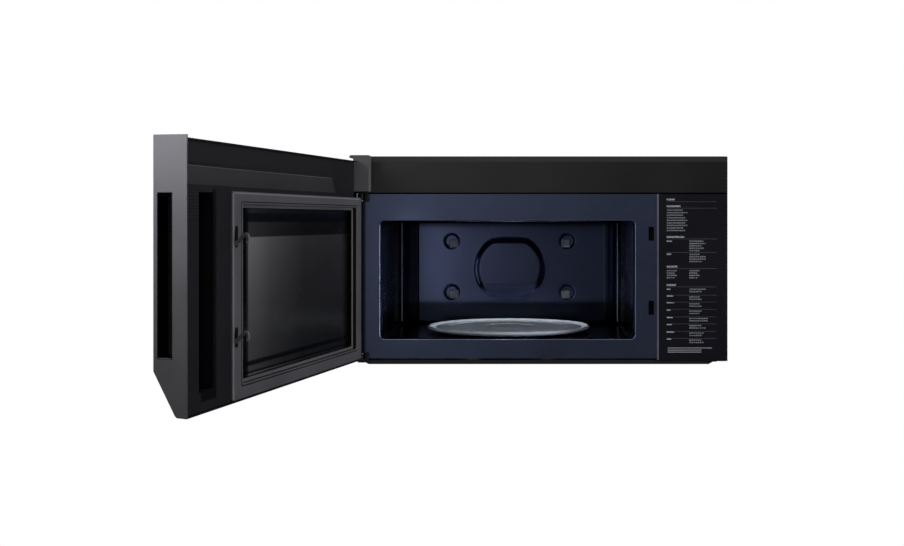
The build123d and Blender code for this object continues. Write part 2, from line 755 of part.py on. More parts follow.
fin_pitch = (yoke_length - 2 * yoke_sheet) / (fin_count + 1)
with BuildPart() as magnetron_core:
    rod((waveguide_right + yoke_sheet, waveguide_y, magnetron_centre_z), (1, 0, 0), magnetron_core_radius,
        yoke_length - 2 * yoke_sheet)
    rod((waveguide_right - 20.0, waveguide_y, magnetron_centre_z), (1, 0, 0), antenna_radius,
        20.0 + yoke_sheet)
    for fin_number in range(1, fin_count + 1):
        fin_x = waveguide_right + yoke_sheet + fin_number * fin_pitch - fin_thick / 2
        fin_half = yoke_height / 2 - yoke_sheet
        block(fin_x, fin_x + fin_thick, waveguide_y - yoke_width / 2 + 4.0, waveguide_y + yoke_width / 2 - 4.0,
              magnetron_centre_z - fin_half, magnetron_centre_z + fin_half)
save(magnetron_core, "magnetron_core")

core_leg = transformer_depth * 0.25
transformer_front_y = -transformer_rear - transformer_depth
with BuildPart() as transformer_core:
    block(transformer_left, transformer_left + transformer_length, transformer_front_y, -transformer_rear,
          sheet, sheet + transformer_height)
    for window_side in (core_leg * 0.6, transformer_depth / 2 + core_leg * 0.6):
        window_low = transformer_front_y + window_side
        block(transformer_left, transformer_left + transformer_length,
              window_low, window_low + core_leg * 0.8,
              sheet + core_leg, sheet + transformer_height - core_leg, Mode.SUBTRACT)
save(transformer_core, "transformer_core")

coil_proud = 10.0
with BuildPart() as transformer_windings:
    for window_side in (core_leg * 0.6, transformer_depth / 2 + core_leg * 0.6):
        window_low = transformer_front_y + window_side
        block(transformer_left - coil_proud, transformer_left + transformer_length + coil_proud,
              window_low, window_low + core_leg * 0.8,
              sheet + core_leg, sheet + transformer_height - core_leg)
    for coil_end in (transformer_left - coil_proud, transformer_left + transformer_length):
        block(coil_end, coil_end + coil_proud, transformer_front_y + core_leg * 0.6,
              transformer_front_y + transformer_depth / 2 + core_leg * 1.4,
              sheet + core_leg, sheet + transformer_height - core_leg)
save(transformer_windings, "transformer_windings")

with BuildPart() as capacitor:
    with BuildSketch(Plane.XY.offset(sheet)):
        with Locations((capacitor_left + capacitor_width / 2, front_y + capacitor_front)):
            SlotOverall(capacitor_depth, capacitor_width, rotation=90)
    extrude(amount=capacitor_height)
    for terminal in (-1, 1):
        rod((capacitor_left + capacitor_width / 2, front_y + capacitor_front + terminal * 20.0, sheet + capacitor_height),
            (0, 0, 1), 3.0, 8.0)
save(capacitor, "capacitor")

# ------------------------------------------------------------------ cooling fan
fan_z = magnetron_centre_z
fan_hub_radius = 14.0
shroud_half = fan_radius + 12.0
fan_shaft_radius = 2.5
with BuildPart() as fan_shroud:
    block(fan_x - shroud_half, half_width - sheet, -fan_rear - 1.5, -fan_rear,
          fan_z - shroud_half, fan_z + shroud_half)
    rod((fan_x, -fan_rear, fan_z), (0, -1, 0), fan_radius + 4.0, 1.5, Mode.SUBTRACT)
    block(fan_x - 4.0, fan_x + 4.0, -fan_rear - 1.5, -fan_rear, fan_z - shroud_half, fan_z + shroud_half)
    rod((fan_x, -fan_rear, fan_z), (0, -1, 0), fan_shaft_radius + 6.0, 1.5)
    rod((fan_x, -fan_rear, fan_z), (0, -1, 0), fan_shaft_radius + 1.5, 1.5, Mode.SUBTRACT)
save(fan_shroud, "fan_shroud")

with BuildPart() as fan_motor:
    block(fan_x - fan_motor_width / 2, fan_x + fan_motor_width / 2, -fan_rear, -fan_rear + fan_motor_depth,
          fan_z - fan_motor_width / 2, fan_z + fan_motor_width / 2)
    rod((fan_x, -fan_rear, fan_z), (0, 1, 0), fan_shaft_radius + run_clearance, fan_motor_depth - 4.0,
        Mode.SUBTRACT)
save(fan_motor, "fan_motor")

fan_front_y = -fan_rear - 4.0 - fan_depth
with BuildPart() as cooling_fan:
    rod((fan_x, fan_front_y, fan_z), (0, 1, 0), fan_hub_radius, fan_depth)
    rod((fan_x, fan_front_y + fan_depth, fan_z), (0, 1, 0), fan_shaft_radius, 4.0 + fan_motor_depth - 6.0)
    for blade in range(fan_blades):
        blade_angle = 360 / fan_blades * blade
        blade_origin = (fan_x, fan_front_y + fan_depth / 2, fan_z)
        blade_out = (cos(radians(blade_angle)), 0, sin(radians(blade_angle)))
        blade_plane = Plane(origin=blade_origin, x_dir=(0, 1, 0), z_dir=blade_out)
        with BuildSketch(blade_plane.offset(fan_hub_radius - blade_thick)):
            Rectangle(blade_chord, blade_thick, rotation=blade_pitch)
        extrude(amount=fan_radius - fan_hub_radius + blade_thick)
save(cooling_fan, "cooling_fan")

board_face_y = front_y + band_depth
power_board_left = label_left + 12.0
with BuildPart() as power_board:
    block(power_board_left, power_board_left + power_board_width, board_face_y, board_face_y + board_thick,
          power_board_bottom, power_board_bottom + power_board_height)
    for post_x in (power_board_left + 6.0, power_board_left + power_board_width - 6.0):
        for post_z in (power_board_bottom + 6.0, power_board_bottom + power_board_height - 6.0):
            rod((post_x, front_y + label_thick, post_z), (0, 1, 0), board_post_radius,
                band_depth - label_thick)
    for relay in range(4):
        relay_z = power_board_bottom + 16.0 + relay * 28.0
        block(power_board_left + 20.0, power_board_left + 42.0, board_face_y + board_thick,
              board_face_y + board_thick + 16.0, relay_z, relay_z + 20.0)
save(power_board, "power_board")

with BuildPart() as cord_gland:
    rod((gland_x, gland_y, case_height - gland_height), (0, 0, 1), gland_radius, gland_height)
    rod((gland_x, gland_y, case_height - gland_height), (0, 0, 1), gland_radius + 2.0, gland_height - sheet)
    rod((gland_x, gland_y, case_height - gland_height), (0, 0, 1), gland_bore, gland_height, Mode.SUBTRACT)
save(cord_gland, "cord_gland")

# ------------------------------------------------------------------ ventilation
scroll_radius = blower_radius + scroll_gap
scroll_outer = scroll_radius + scroll_wall
blower_y = -duct_rear - duct_depth / 2
blower_z = cavity_roof + sheet + blower_foot + scroll_outer
collar_bottom = case_height - sheet - collar_height
scroll_sides = (-scroll_spacing, scroll_spacing)
wheel_inlet = 26.0
with BuildPart() as blower_housings:
    for scroll_x in scroll_sides:
        with BuildSketch(Plane.YZ.offset(scroll_x - scroll_length / 2)):
            with Locations((blower_y, blower_z)):
                Circle(scroll_outer)
            with Locations((blower_y, (blower_z + collar_bottom) / 2)):
                Rectangle(2 * scroll_outer, collar_bottom - blower_z)
        extrude(amount=scroll_length)
    for scroll_x in scroll_sides:
        with BuildSketch(Plane.YZ.offset(scroll_x - scroll_length / 2 + scroll_wall)):
            with Locations((blower_y, blower_z)):
                Circle(scroll_radius)
            with Locations((blower_y, (blower_z + collar_bottom) / 2)):
                Rectangle(2 * scroll_radius, collar_bottom - blower_z)
        extrude(amount=scroll_length - 2 * scroll_wall, mode=Mode.SUBTRACT)
        rod((scroll_x - scroll_length / 2, blower_y, blower_z), (1, 0, 0), wheel_inlet, scroll_length,
            Mode.SUBTRACT)
        for foot_side in (-1, 1):
            foot_y = blower_y + foot_side * 20.0
            block(scroll_x - scroll_length / 2, scroll_x + scroll_length / 2, foot_y - 3.0, foot_y + 3.0,
                  cavity_roof + sheet, blower_z - scroll_radius * 0.92)
save(blower_housings, "blower_housings")

wheel_ring = 5.0
shaft_half = scroll_spacing + scroll_length / 2 - 4.0
with BuildPart() as blower_wheels:
    rod((-shaft_half, blower_y, blower_z), (1, 0, 0), blower_shaft_radius, 2 * shaft_half)
    for scroll_x in scroll_sides:
        wheel_left = scroll_x - blower_length / 2
        rod((scroll_x - 1.0, blower_y, blower_z), (1, 0, 0), blower_radius, 2.0)
        for ring_left in (wheel_left, wheel_left + blower_length - 2.0):
            with BuildSketch(Plane.YZ.offset(ring_left)):
                with Locations((blower_y, blower_z)):
                    Circle(blower_radius)
                    Circle(blower_radius - wheel_ring, mode=Mode.SUBTRACT)
            extrude(amount=2.0)
        with BuildSketch(Plane.YZ.offset(wheel_left)):
            with Locations((blower_y, blower_z)):
                with PolarLocations(blower_radius - wheel_ring / 2, blower_blades):
                    Rectangle(wheel_ring * 0.9, 1.2)
        extrude(amount=blower_length)
save(blower_wheels, "blower_wheels")

with BuildPart() as blower_motor:
    rod((-blower_motor_length / 2, blower_y, blower_z), (1, 0, 0), blower_motor_radius, blower_motor_length)
    rod((-blower_motor_length / 2, blower_y, blower_z), (1, 0, 0), blower_shaft_radius + run_clearance,
        blower_motor_length, Mode.SUBTRACT)
    for foot_side in (-1, 1):
        foot_x = foot_side * (blower_motor_length / 2 - 8.0)
        block(foot_x - 3.0, foot_x + 3.0, blower_y - 18.0, blower_y + 18.0,
              cavity_roof + sheet, blower_z - blower_motor_radius * 0.8)
save(blower_motor, "blower_motor")

collar_half = duct_width / 2
with BuildPart() as exhaust_collar:
    block(-collar_half - collar_wall, collar_half + collar_wall, duct_front_y - collar_wall,
          -duct_rear + collar_wall, collar_bottom, case_height - sheet)
    block(-collar_half, collar_half, duct_front_y, -duct_rear, collar_bottom, case_height - sheet,
          Mode.SUBTRACT)
    flap_axis_z = collar_bottom + 6.0
    flap_axis_y = -duct_rear - flap_axle_radius - 1.0
    for end_x, end_way in ((-collar_half, 1), (collar_half, -1)):
        rod((end_x - end_way * collar_wall, flap_axis_y, flap_axis_z), (end_way, 0, 0),
            flap_axle_radius + run_clearance, collar_wall, Mode.SUBTRACT)
save(exhaust_collar, "exhaust_collar")

flap_side_gap = 1.0
with BuildPart() as damper_flap:
    block(-collar_half + flap_side_gap, collar_half - flap_side_gap, duct_front_y + flap_side_gap,
          flap_axis_y, flap_axis_z - flap_thick / 2, flap_axis_z + flap_thick / 2)
    rod((-collar_half - collar_wall, flap_axis_y, flap_axis_z), (1, 0, 0), flap_axle_radius,
        duct_width + 2 * collar_wall)
save(damper_flap, "damper_flap")

for filter_name, filter_x in (("left", filter_left_x), ("right", filter_right_x)):
    with BuildPart() as grease_filter:
        with BuildSketch(Plane.XY.offset(sheet + touch_gap)):
            with Locations((filter_x, filter_low_y + filter_depth / 2)):
                Rectangle(filter_width, filter_depth)
                Rectangle(filter_width - 16, filter_depth - 16, mode=Mode.SUBTRACT)
        extrude(amount=filter_thick)
        block(filter_x - filter_width / 2 + 8, filter_x + filter_width / 2 - 8,
              filter_low_y + 8, filter_low_y + filter_depth - 8,
              sheet + touch_gap + 2.0, sheet + touch_gap + filter_thick - 2.0)
    save(grease_filter, f"grease_filter_{filter_name}")

charcoal_y = front_y + band_depth + 3.0
with BuildPart() as charcoal_filter:
    block(turntable_x - charcoal_width / 2, turntable_x + charcoal_width / 2, charcoal_y,
          charcoal_y + charcoal_thick, cavity_roof + sheet, case_height - sheet)
save(charcoal_filter, "charcoal_filter")

with BuildPart() as lamp_lenses:
    for lamp_x, lamp_place_y in lamp_places:
        rod((lamp_x, lamp_place_y, sheet), (0, 0, 1), lamp_radius + 4.0, lens_thick)
save(lamp_lenses, "lamp_lenses")

with BuildPart() as cooktop_lamps:
    for lamp_x, lamp_place_y in lamp_places:
        rod((lamp_x, lamp_place_y, sheet + lens_thick), (0, 0, 1), lamp_radius, 12.0)
save(cooktop_lamps, "cooktop_lamps")

lamp_house = 34.0
with BuildPart() as cavity_lamp:
    block(-cavity_left - sheet - 24.0, -cavity_left - sheet, vent_y - lamp_house / 2, vent_y + lamp_house / 2,
          vent_z - lamp_house / 2, vent_z + lamp_house / 2)
    block(-cavity_left - sheet - 22.0, -cavity_left - sheet, vent_y - lamp_house / 2 + 2.0,
          vent_y + lamp_house / 2 - 2.0, vent_z - lamp_house / 2 + 2.0, vent_z + lamp_house / 2 - 2.0,
          Mode.SUBTRACT)
    rod((-cavity_left - sheet - 22.0, vent_y, vent_z), (1, 0, 0), 6.0, 14.0)
save(cavity_lamp, "cavity_lamp")

# ------------------------------------------------------------------ door
shell_inner = shell_front + shell_wall
hinge_clear_x = hinge_x + cap_clear_x
notch_depth = 20.0
notch_margin = 3.0
knuckle_notch_depth = 15.0     # room for the knuckle in the end wall
knuckle_margin = 0.5
knuckle_low = upper_bracket_z + bracket_leg_height - knuckle_height - knuckle_margin
knuckle_high = lower_bracket_z + bracket_thick + knuckle_margin
bevel_top_z = glass_bottom - sheet
bevel_rise = (bevel_top_z - bevel_foot_z) / (door_thick - bevel_foot)
bevel_lift = shell_wall * (1 + bevel_rise ** 2) ** 0.5
inner_toe_z = toe_z + shell_wall
choke_bottom = inner_toe_z + touch_gap
inner_toe_depth = bevel_foot + (inner_toe_z - bevel_lift - bevel_foot_z) / bevel_rise
shell_depth = door_thick - glass_thick - shell_wall
inner_shoulder_z = bevel_foot_z + bevel_rise * (shell_depth - bevel_foot) + bevel_lift
# corners of the door's side view from its back, round the slanted lower face, to its front
door_underside = [(door_back, door_bottom), (door_back - toe_depth, toe_z),
                  (door_back - bevel_foot, bevel_foot_z), (door_front, bevel_top_z)]

with BuildPart() as door_shell:
    with BuildSketch(Plane.YZ.offset(-half_width)):
        with BuildLine():
            Polyline(*door_underside, (door_front, glass_bottom), (shell_front, glass_bottom),
                     (shell_front, door_top), (door_back, door_top), (door_back, door_top - shell_wall),
                     (shell_inner, door_top - shell_wall), (shell_inner, inner_shoulder_z),
                     (door_back - inner_toe_depth, inner_toe_z), (door_back, door_bottom + shell_wall),
                     close=True)
        make_face()
    extrude(amount=end_panel_left + half_width)
    with BuildSketch(Plane.YZ.offset(-half_width)):
        with BuildLine():
            Polyline(*door_underside, (door_front, glass_bottom), (shell_front, glass_bottom),
                     (shell_front, hinge_open_z), (door_back, hinge_open_z), close=True)
        make_face()
    extrude(amount=shell_wall)
    block(-half_width, hinge_clear_x, shell_inner, door_back, hinge_open_z, door_top, Mode.SUBTRACT)
    block(-half_width, -half_width + shell_wall, door_back - knuckle_notch_depth, door_back,
          knuckle_low, hinge_open_z, Mode.SUBTRACT)
    block(-half_width, -bracket_right + notch_margin, door_back - notch_depth, door_back,
          door_bottom, knuckle_high, Mode.SUBTRACT)
save_open(door_shell, "door_shell")

with BuildPart() as door_glass:
    block(-half_width, end_panel_left, door_front, shell_front, glass_bottom, glass_top)
save_open(door_glass, "door_glass")

with BuildPart() as door_end_panel:
    with BuildSketch(Plane.YZ.offset(end_panel_left)):
        with BuildLine():
            Polyline(*door_underside, (door_front, end_panel_top), (door_back, end_panel_top), close=True)
        make_face()
        with Locations((door_back - (pull_near + pull_far) / 2, (pull_bottom + pull_top) / 2)):
            Rectangle(pull_far - pull_near, pull_top - pull_bottom, mode=Mode.SUBTRACT)
    extrude(amount=end_panel_thick)
    block(end_panel_left - pull_depth - pull_wall, end_panel_left,
          door_back - pull_far - pull_wall, door_back - pull_near + pull_wall,
          pull_bottom - pull_wall, pull_top + pull_wall)
    block(end_panel_left - pull_depth, end_panel_left, door_back - pull_far, door_back - pull_near,
          pull_bottom, pull_top, Mode.SUBTRACT)
save_open(door_end_panel, "door_end_panel")

slit_half = hook_thick / 2 + 0.8
with BuildPart() as door_choke_frame:
    with BuildSketch(Plane.XZ.offset(-door_back)):
        with Locations(((choke_right - choke_left) / 2, (choke_bottom + choke_top) / 2)):
            Rectangle(choke_right + choke_left, choke_top - choke_bottom)
        with Locations(((window_right - window_left) / 2, (window_bottom + window_top) / 2)):
            Rectangle(window_right + window_left, window_top - window_bottom, mode=Mode.SUBTRACT)
    extrude(amount=choke_sheet)
    with BuildSketch(Plane.XZ.offset(-door_back)):
        with Locations(((choke_right - choke_left) / 2, (choke_bottom + choke_top) / 2)):
            Rectangle(choke_right + choke_left, choke_top - choke_bottom)
            Rectangle(choke_right + choke_left - 2 * choke_sheet, choke_top - choke_bottom - 2 * choke_sheet,
                      mode=Mode.SUBTRACT)
    extrude(amount=choke_outer_depth)
    with BuildSketch(Plane.XZ.offset(-door_back)):
        with Locations(((window_right - window_left) / 2, (window_bottom + window_top) / 2)):
            Rectangle(window_right + window_left + 2 * choke_sheet,
                      window_top - window_bottom + 2 * choke_sheet)
            Rectangle(window_right + window_left, window_top - window_bottom, mode=Mode.SUBTRACT)
    extrude(amount=choke_inner_depth)
    for slot_low, slot_high in latch_slots:
        block(hook_x - slit_half, hook_x + slit_half, door_back - choke_sheet, door_back,
              slot_low, slot_high, Mode.SUBTRACT)
save_open(door_choke_frame, "door_choke_frame")

pane_lap = 6.0
pane_face = door_back - choke_inner_depth
with BuildPart() as door_inner_pane:
    block(-window_left - pane_lap, window_right + pane_lap, pane_face - pane_thick, pane_face,
          window_bottom - pane_lap, window_top + pane_lap)
save_open(door_inner_pane, "door_inner_pane")

screen_face = pane_face - pane_thick
with BuildPart() as door_screen:
    block(-window_left - pane_lap, window_right + pane_lap, screen_face - screen_thick, screen_face,
          window_bottom - pane_lap, window_top + pane_lap)
save_open(door_screen, "door_screen")

cover_face = door_back - cover_inset
cover_right = end_panel_left
cover_low_top = choke_top + touch_gap
with BuildPart() as door_back_cover:
    with BuildSketch(Plane.YZ.offset(-cover_left)):
        with BuildLine():
            Polyline((cover_face, cover_low_top), (cover_face, cover_step_z),
                     (cover_face - cover_step_depth, cover_step_z + cover_step_depth),
                     (cover_face - cover_step_depth, door_top - shell_wall),
                     (cover_face - cover_step_depth - cover_wall, door_top - shell_wall),
                     (cover_face - cover_step_depth - cover_wall, cover_step_z + cover_step_depth),
                     (cover_face - cover_wall, cover_step_z), (cover_face - cover_wall, cover_low_top),
                     close=True)
        make_face()
    extrude(amount=cover_left + cover_right)
    block(hinge_clear_x + touch_gap, -cover_left, cover_face - cover_step_depth - cover_wall,
          cover_face - cover_step_depth, cover_low_top, door_top - shell_wall)
    block(-cover_left, -cover_left + cover_wall, cover_face - cover_step_depth - cover_wall, cover_face,
          cover_low_top, cover_step_z)
    block(choke_right + 2.0, cover_right, cover_face - cover_wall, cover_face,
          door_bottom + shell_wall + 1.0, cover_low_top)
    block(cover_pocket_left - cover_wall, cover_pocket_right + cover_wall,
          cover_face - cover_pocket_depth, cover_face - cover_wall,
          cover_pocket_bottom, cover_pocket_top - cover_wall)
    block(cover_pocket_left, cover_pocket_right, cover_face - cover_pocket_depth + cover_wall, cover_face,
          cover_pocket_bottom + cover_wall, cover_pocket_top - 2 * cover_wall, Mode.SUBTRACT)
save_open(door_back_cover, "door_back_cover")

board_y = shell_inner + board_post
with BuildPart() as door_control_board:
    block(board_left, board_right, board_y, board_y + board_thick, board_bottom, board_top)
    for post_x in (board_left + 6.0, board_right - 6.0):
        for post_z in (board_bottom + 6.0, board_top - 6.0):
            rod((post_x, shell_inner, post_z), (0, 1, 0), board_post_radius, board_post)
    block(board_left + 10.0, board_right - 10.0, board_y - board_post + 1.0, board_y,
          board_top - display_drop - display_height, board_top - display_drop)
save_open(door_control_board, "door_control_board")

bar_back = door_back - choke_sheet - touch_gap
bar_front = bar_back - latch_bar_depth
guide_height = 12.0
guide_side = 3.0
guide_half = hook_thick / 2 + touch_gap
guide_zs = (lower_hook_z + 30.0, upper_hook_z - 40.0)
spring_lug = 3.0
spring_height = 26.0
spring_base_z = guide_zs[0] + guide_height + spring_wire + touch_gap
spring_x = hook_x - guide_half - guide_side / 2 - spring_radius
spring_y = (bar_front + door_back - choke_sheet) / 2

with BuildPart() as latch_key:
    block(hook_x - hook_thick / 2, hook_x + hook_thick / 2, bar_front, bar_back,
          lower_hook_z - hook_nose, upper_hook_z + hook_arm)
    for hook_z in (upper_hook_z, lower_hook_z):
        block(hook_x - hook_thick / 2, hook_x + hook_thick / 2, bar_back, door_back + hook_reach,
              hook_z, hook_z + hook_arm)
        block(hook_x - hook_thick / 2, hook_x + hook_thick / 2, door_back + hook_reach - hook_nose_length,
              door_back + hook_reach, hook_z - hook_nose, hook_z)
    block(spring_x, hook_x, spring_y - spring_lug / 2, spring_y + spring_lug / 2,
          spring_base_z + spring_height + spring_wire + touch_gap,
          spring_base_z + spring_height + spring_wire + touch_gap + spring_lug)
save_open(latch_key, "latch_key")

with BuildPart() as latch_guides:
    for guide_z in guide_zs:
        block(hook_x - guide_half - guide_side, hook_x + guide_half + guide_side,
              bar_front - touch_gap - guide_side, door_back - choke_sheet, guide_z, guide_z + guide_height)
        block(hook_x - guide_half, hook_x + guide_half,
              bar_front - touch_gap, door_back - choke_sheet, guide_z, guide_z + guide_height, Mode.SUBTRACT)
save_open(latch_guides, "latch_guides")

with BuildPart() as latch_spring:
    with BuildLine():
        coil_path = Helix(pitch=spring_height / spring_turns, height=spring_height, radius=spring_radius,
                          center=(spring_x, spring_y, spring_base_z))
    with BuildSketch(Plane(origin=coil_path @ 0, z_dir=coil_path % 0)):
        Circle(spring_wire)
    sweep()
save_open(latch_spring, "latch_spring")

strap_length = 56.0
strap_near = 4.0
with BuildPart() as door_hinge_plates:
    for tab_z, way in ((upper_bracket_z, 1), (lower_bracket_z, -1)):
        plate_z = tab_z + way * bracket_leg_height
        knuckle_z = plate_z - touch_gap if way > 0 else plate_z + bracket_thick + touch_gap
        strap_end_z = knuckle_z - way * strap_length
        rod((hinge_x, hinge_y, knuckle_z), (0, 0, -way), knuckle_radius, knuckle_height - touch_gap)
        block(-half_width + shell_wall, hinge_x + knuckle_radius, hinge_y - knuckle_radius + sheet,
              door_back - strap_near, min(knuckle_z, strap_end_z), max(knuckle_z, strap_end_z))
        block(hinge_x, hinge_x + knuckle_radius, hinge_y - knuckle_radius + sheet,
              door_back - strap_near, min(knuckle_z, knuckle_z - way * bracket_thick),
              max(knuckle_z, knuckle_z - way * bracket_thick))
        rod((hinge_x, hinge_y, knuckle_z), (0, 0, -way), pin_radius + run_clearance, knuckle_height,
            Mode.SUBTRACT)
save_open(door_hinge_plates, "door_hinge_plates")

# ------------------------------------------------------------------ screws
with BuildPart() as case_screws:
    for side in (-1, 1):
        for row_y in screw_rows:
            rod((side * half_width, row_y, screw_row_z), (side, 0, 0), screw_head_radius, screw_head_height)
            rod((side * half_width, row_y, screw_row_z), (-side, 0, 0), screw_shank_radius, screw_length)
save(case_screws, "case_screws")
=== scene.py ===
"""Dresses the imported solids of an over-the-range microwave oven for a studio picture.

The file is laid out as an add-on: property groups hold the sizes and colours, operators make
the pieces and the stage, and main() calls them in order.  Lengths are metres in the frame of the
solids: +X to the right, +Z up, the wall at Y = 0 and the origin in the middle of the wall bolts.
Lists of edges, sections and outlines are in millimetres, with heights above the case's underside
where their comments give no other.
"""

import json
import math

import bmesh
import bpy
import numpy as np
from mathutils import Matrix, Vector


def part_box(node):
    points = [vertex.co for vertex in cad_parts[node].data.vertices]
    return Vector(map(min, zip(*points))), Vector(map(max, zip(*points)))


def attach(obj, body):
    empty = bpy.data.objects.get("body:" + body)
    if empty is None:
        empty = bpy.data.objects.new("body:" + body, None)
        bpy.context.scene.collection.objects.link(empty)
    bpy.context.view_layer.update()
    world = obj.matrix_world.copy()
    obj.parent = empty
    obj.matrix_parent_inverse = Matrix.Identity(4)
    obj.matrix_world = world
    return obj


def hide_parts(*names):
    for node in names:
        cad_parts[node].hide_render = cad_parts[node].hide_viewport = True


bl_info = {
    "name": "Microwave oven dresser",
    "version": (1, 0, 0),
    "blender": (4, 5, 0),
    "location": "View3D > Sidebar > Oven",
    "description": "Adds finishes, pressed and moulded detail, and a studio to a packed microwave oven",
    "category": "Object",
}

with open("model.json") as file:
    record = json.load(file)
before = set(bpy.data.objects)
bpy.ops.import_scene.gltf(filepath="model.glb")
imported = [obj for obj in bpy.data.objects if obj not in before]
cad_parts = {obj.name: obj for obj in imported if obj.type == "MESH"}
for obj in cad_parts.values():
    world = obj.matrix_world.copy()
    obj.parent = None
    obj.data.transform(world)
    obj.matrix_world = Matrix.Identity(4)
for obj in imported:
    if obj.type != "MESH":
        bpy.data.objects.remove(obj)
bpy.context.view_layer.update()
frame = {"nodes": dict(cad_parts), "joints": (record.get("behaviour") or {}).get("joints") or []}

MM = 0.001
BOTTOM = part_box("case_wrap")[0].z - 6 * MM      # underside of the case
FRONT = -414 * MM                               # front plane of the case
DOOR_BACK = -417 * MM                           # back of the closed door
COVER_FACE = DOOR_BACK - 3 * MM                 # outer face of the moulded cover in the door's back
DOOR_FRONT = DOOR_BACK - 53 * MM                # face of the door glass
HINGE = next(joint for joint in frame["joints"] if joint["name"] == "door_hinge")

CAVITY_LEFT, CAVITY_RIGHT = -346 * MM, 189 * MM
CAVITY_FLOOR, CAVITY_ROOF = BOTTOM + 48 * MM, BOTTOM + 302 * MM
CAVITY_REAR = FRONT + 400 * MM
CAVITY_EDGE = 10 * MM                           # radius of the cavity's long edges
CAVITY_SHEET = 1 * MM
CREASE_TURN = 34                                # where the upright corners are creased, in degrees
DOME_X, DOME_Z = -79.4 * MM, BOTTOM + 182.6 * MM
STUD_XS = (-218.5 * MM, 59.8 * MM)
STUD_ZS = (BOTTOM + 125.8 * MM, BOTTOM + 249.2 * MM)
WELL_DEPTH = 4 * MM                             # the studs stand in round wells in the rear wall

FINE = 0.01 * MM                                # bump of a fine grain


# ---------------------------------------------------------------- shapes
def add_piece(name, points, faces, body, finish, crease=30, closed=True):
    """Puts arrays of points and faces into a mesh whose object stays at the origin.

    Edges sharper than the crease angle, in degrees, stay sharp.
    """
    mesh = bpy.data.meshes.new(name)
    mesh.from_pydata(np.asarray(points).reshape(-1, 3).tolist(), [], [list(face) for face in faces])
    mesh.validate()
    if closed:
        turn_outwards(mesh)
    mesh.polygons.foreach_set("use_smooth", np.ones(len(mesh.polygons), bool))
    mesh.set_sharp_from_angle(angle=math.radians(crease))
    mesh.materials.append(bpy.data.materials[finish])
    mesh.update()
    piece = bpy.data.objects.new(name, mesh)
    bpy.context.scene.collection.objects.link(piece)
    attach(piece, body)
    return piece


def turn_outwards(mesh):
    """Points the faces of a closed mesh outwards."""
    work = bmesh.new()
    work.from_mesh(mesh)
    bmesh.ops.recalc_face_normals(work, faces=work.faces)
    work.to_mesh(mesh)
    work.free()


def grid_faces(rows, columns, wrap_rows=False, wrap_columns=False):
    """Four-cornered faces between neighbours of a grid of points, closed where it wraps."""
    row = np.arange(rows if wrap_rows else rows - 1)[:, None]
    column = np.arange(columns if wrap_columns else columns - 1)[None, :]
    next_row = (row + 1) % rows
    next_column = (column + 1) % columns
    corners = [row * columns + column, row * columns + next_column,
               next_row * columns + next_column, next_row * columns + column]
    return np.stack(corners, -1).reshape(-1, 4)


def tube_faces(rings, ring):
    """Faces of a row of rings of points, with a flat cap on the first and the last ring."""
    last = (rings - 1) * ring
    caps = [list(range(ring)), list(range(last, last + ring))[::-1]]
    return grid_faces(rings, ring, wrap_columns=True).tolist() + caps


def ball_faces(rings, ring):
    """Faces of a row of rings that is closed by two more points, one at each pole."""
    here = np.arange(ring)
    after = (here + 1) % ring
    last = (rings - 1) * ring
    faces = grid_faces(rings, ring, wrap_columns=True).tolist()
    faces += np.stack([after, here, np.full(ring, rings * ring)], -1).tolist()
    faces += np.stack([last + here, last + after, np.full(ring, rings * ring + 1)], -1).tolist()
    return faces


def rounded_loop(left, right, low, high, radius, y, steps=8):
    """Points round a rectangle in X and Z: four quarter circles of the radius, joined by straights."""
    turn = np.linspace(0, math.pi / 2, steps + 1)
    quarters = []
    for k, (x, z) in enumerate(((right - radius, high - radius), (left + radius, high - radius),
                                (left + radius, low + radius), (right - radius, low + radius))):
        angle = turn + k * math.pi / 2
        quarters.append(np.stack([x + radius * np.cos(angle), np.full_like(angle, y),
                                  z + radius * np.sin(angle)], -1))
    return np.concatenate(quarters)


def rim_bead(edges, radius, y, thick, ring, steps):
    """A round bead along a rounded rectangle: each turn of its section is one loop.

    The loop at an angle is larger by thick * cos and lies thick * sin behind y.
    """
    left, right, low, high = edges
    loops = []
    for turn in np.linspace(0, 2 * math.pi, ring, endpoint=False):
        out = thick * math.cos(turn)
        loops.append(rounded_loop(left - out, right + out, low - out, high + out, radius + out,
                                  y + thick * math.sin(turn), steps))
    points = np.array(loops)
    return points, grid_faces(len(points), points.shape[1], True, True)


def round_bar(start, length, axis, radius, rings, ring):
    """A round bar along one axis: its rings are circles in the other two."""
    middle = np.array(start) + np.linspace(0, length, rings)[:, None, None] * np.eye(3)[axis]
    turn = np.linspace(0, 2 * math.pi, ring, endpoint=False)[:, None]
    first, second = np.delete(np.eye(3), axis, 0)
    return middle + radius * (np.cos(turn) * first + np.sin(turn) * second), tube_faces(rings, ring)


def lathe(profile, centre, ring, ripple):
    """A closed turned shape about Z: each (radius, height) of the profile becomes a ring of points.

    The profile starts and ends on the axis, where one point closes each pole.  ripple gives what
    is added to the height at a radius and an angle.
    """
    profile = np.asarray(profile, float)
    angle = np.linspace(0, 2 * math.pi, ring, endpoint=False)[None, :]
    radius = profile[1:-1, 0][:, None] + 0 * angle
    height = profile[1:-1, 1][:, None] + ripple(radius, angle + 0 * radius)
    rings = np.stack([centre[0] + radius * np.cos(angle), centre[1] + radius * np.sin(angle),
                      centre[2] + height], -1)
    poles = [[centre[0], centre[1], centre[2] + end] for end in (profile[0, 1], profile[-1, 1])]
    return np.concatenate([rings.reshape(-1, 3), poles]), ball_faces(len(profile) - 2, ring)


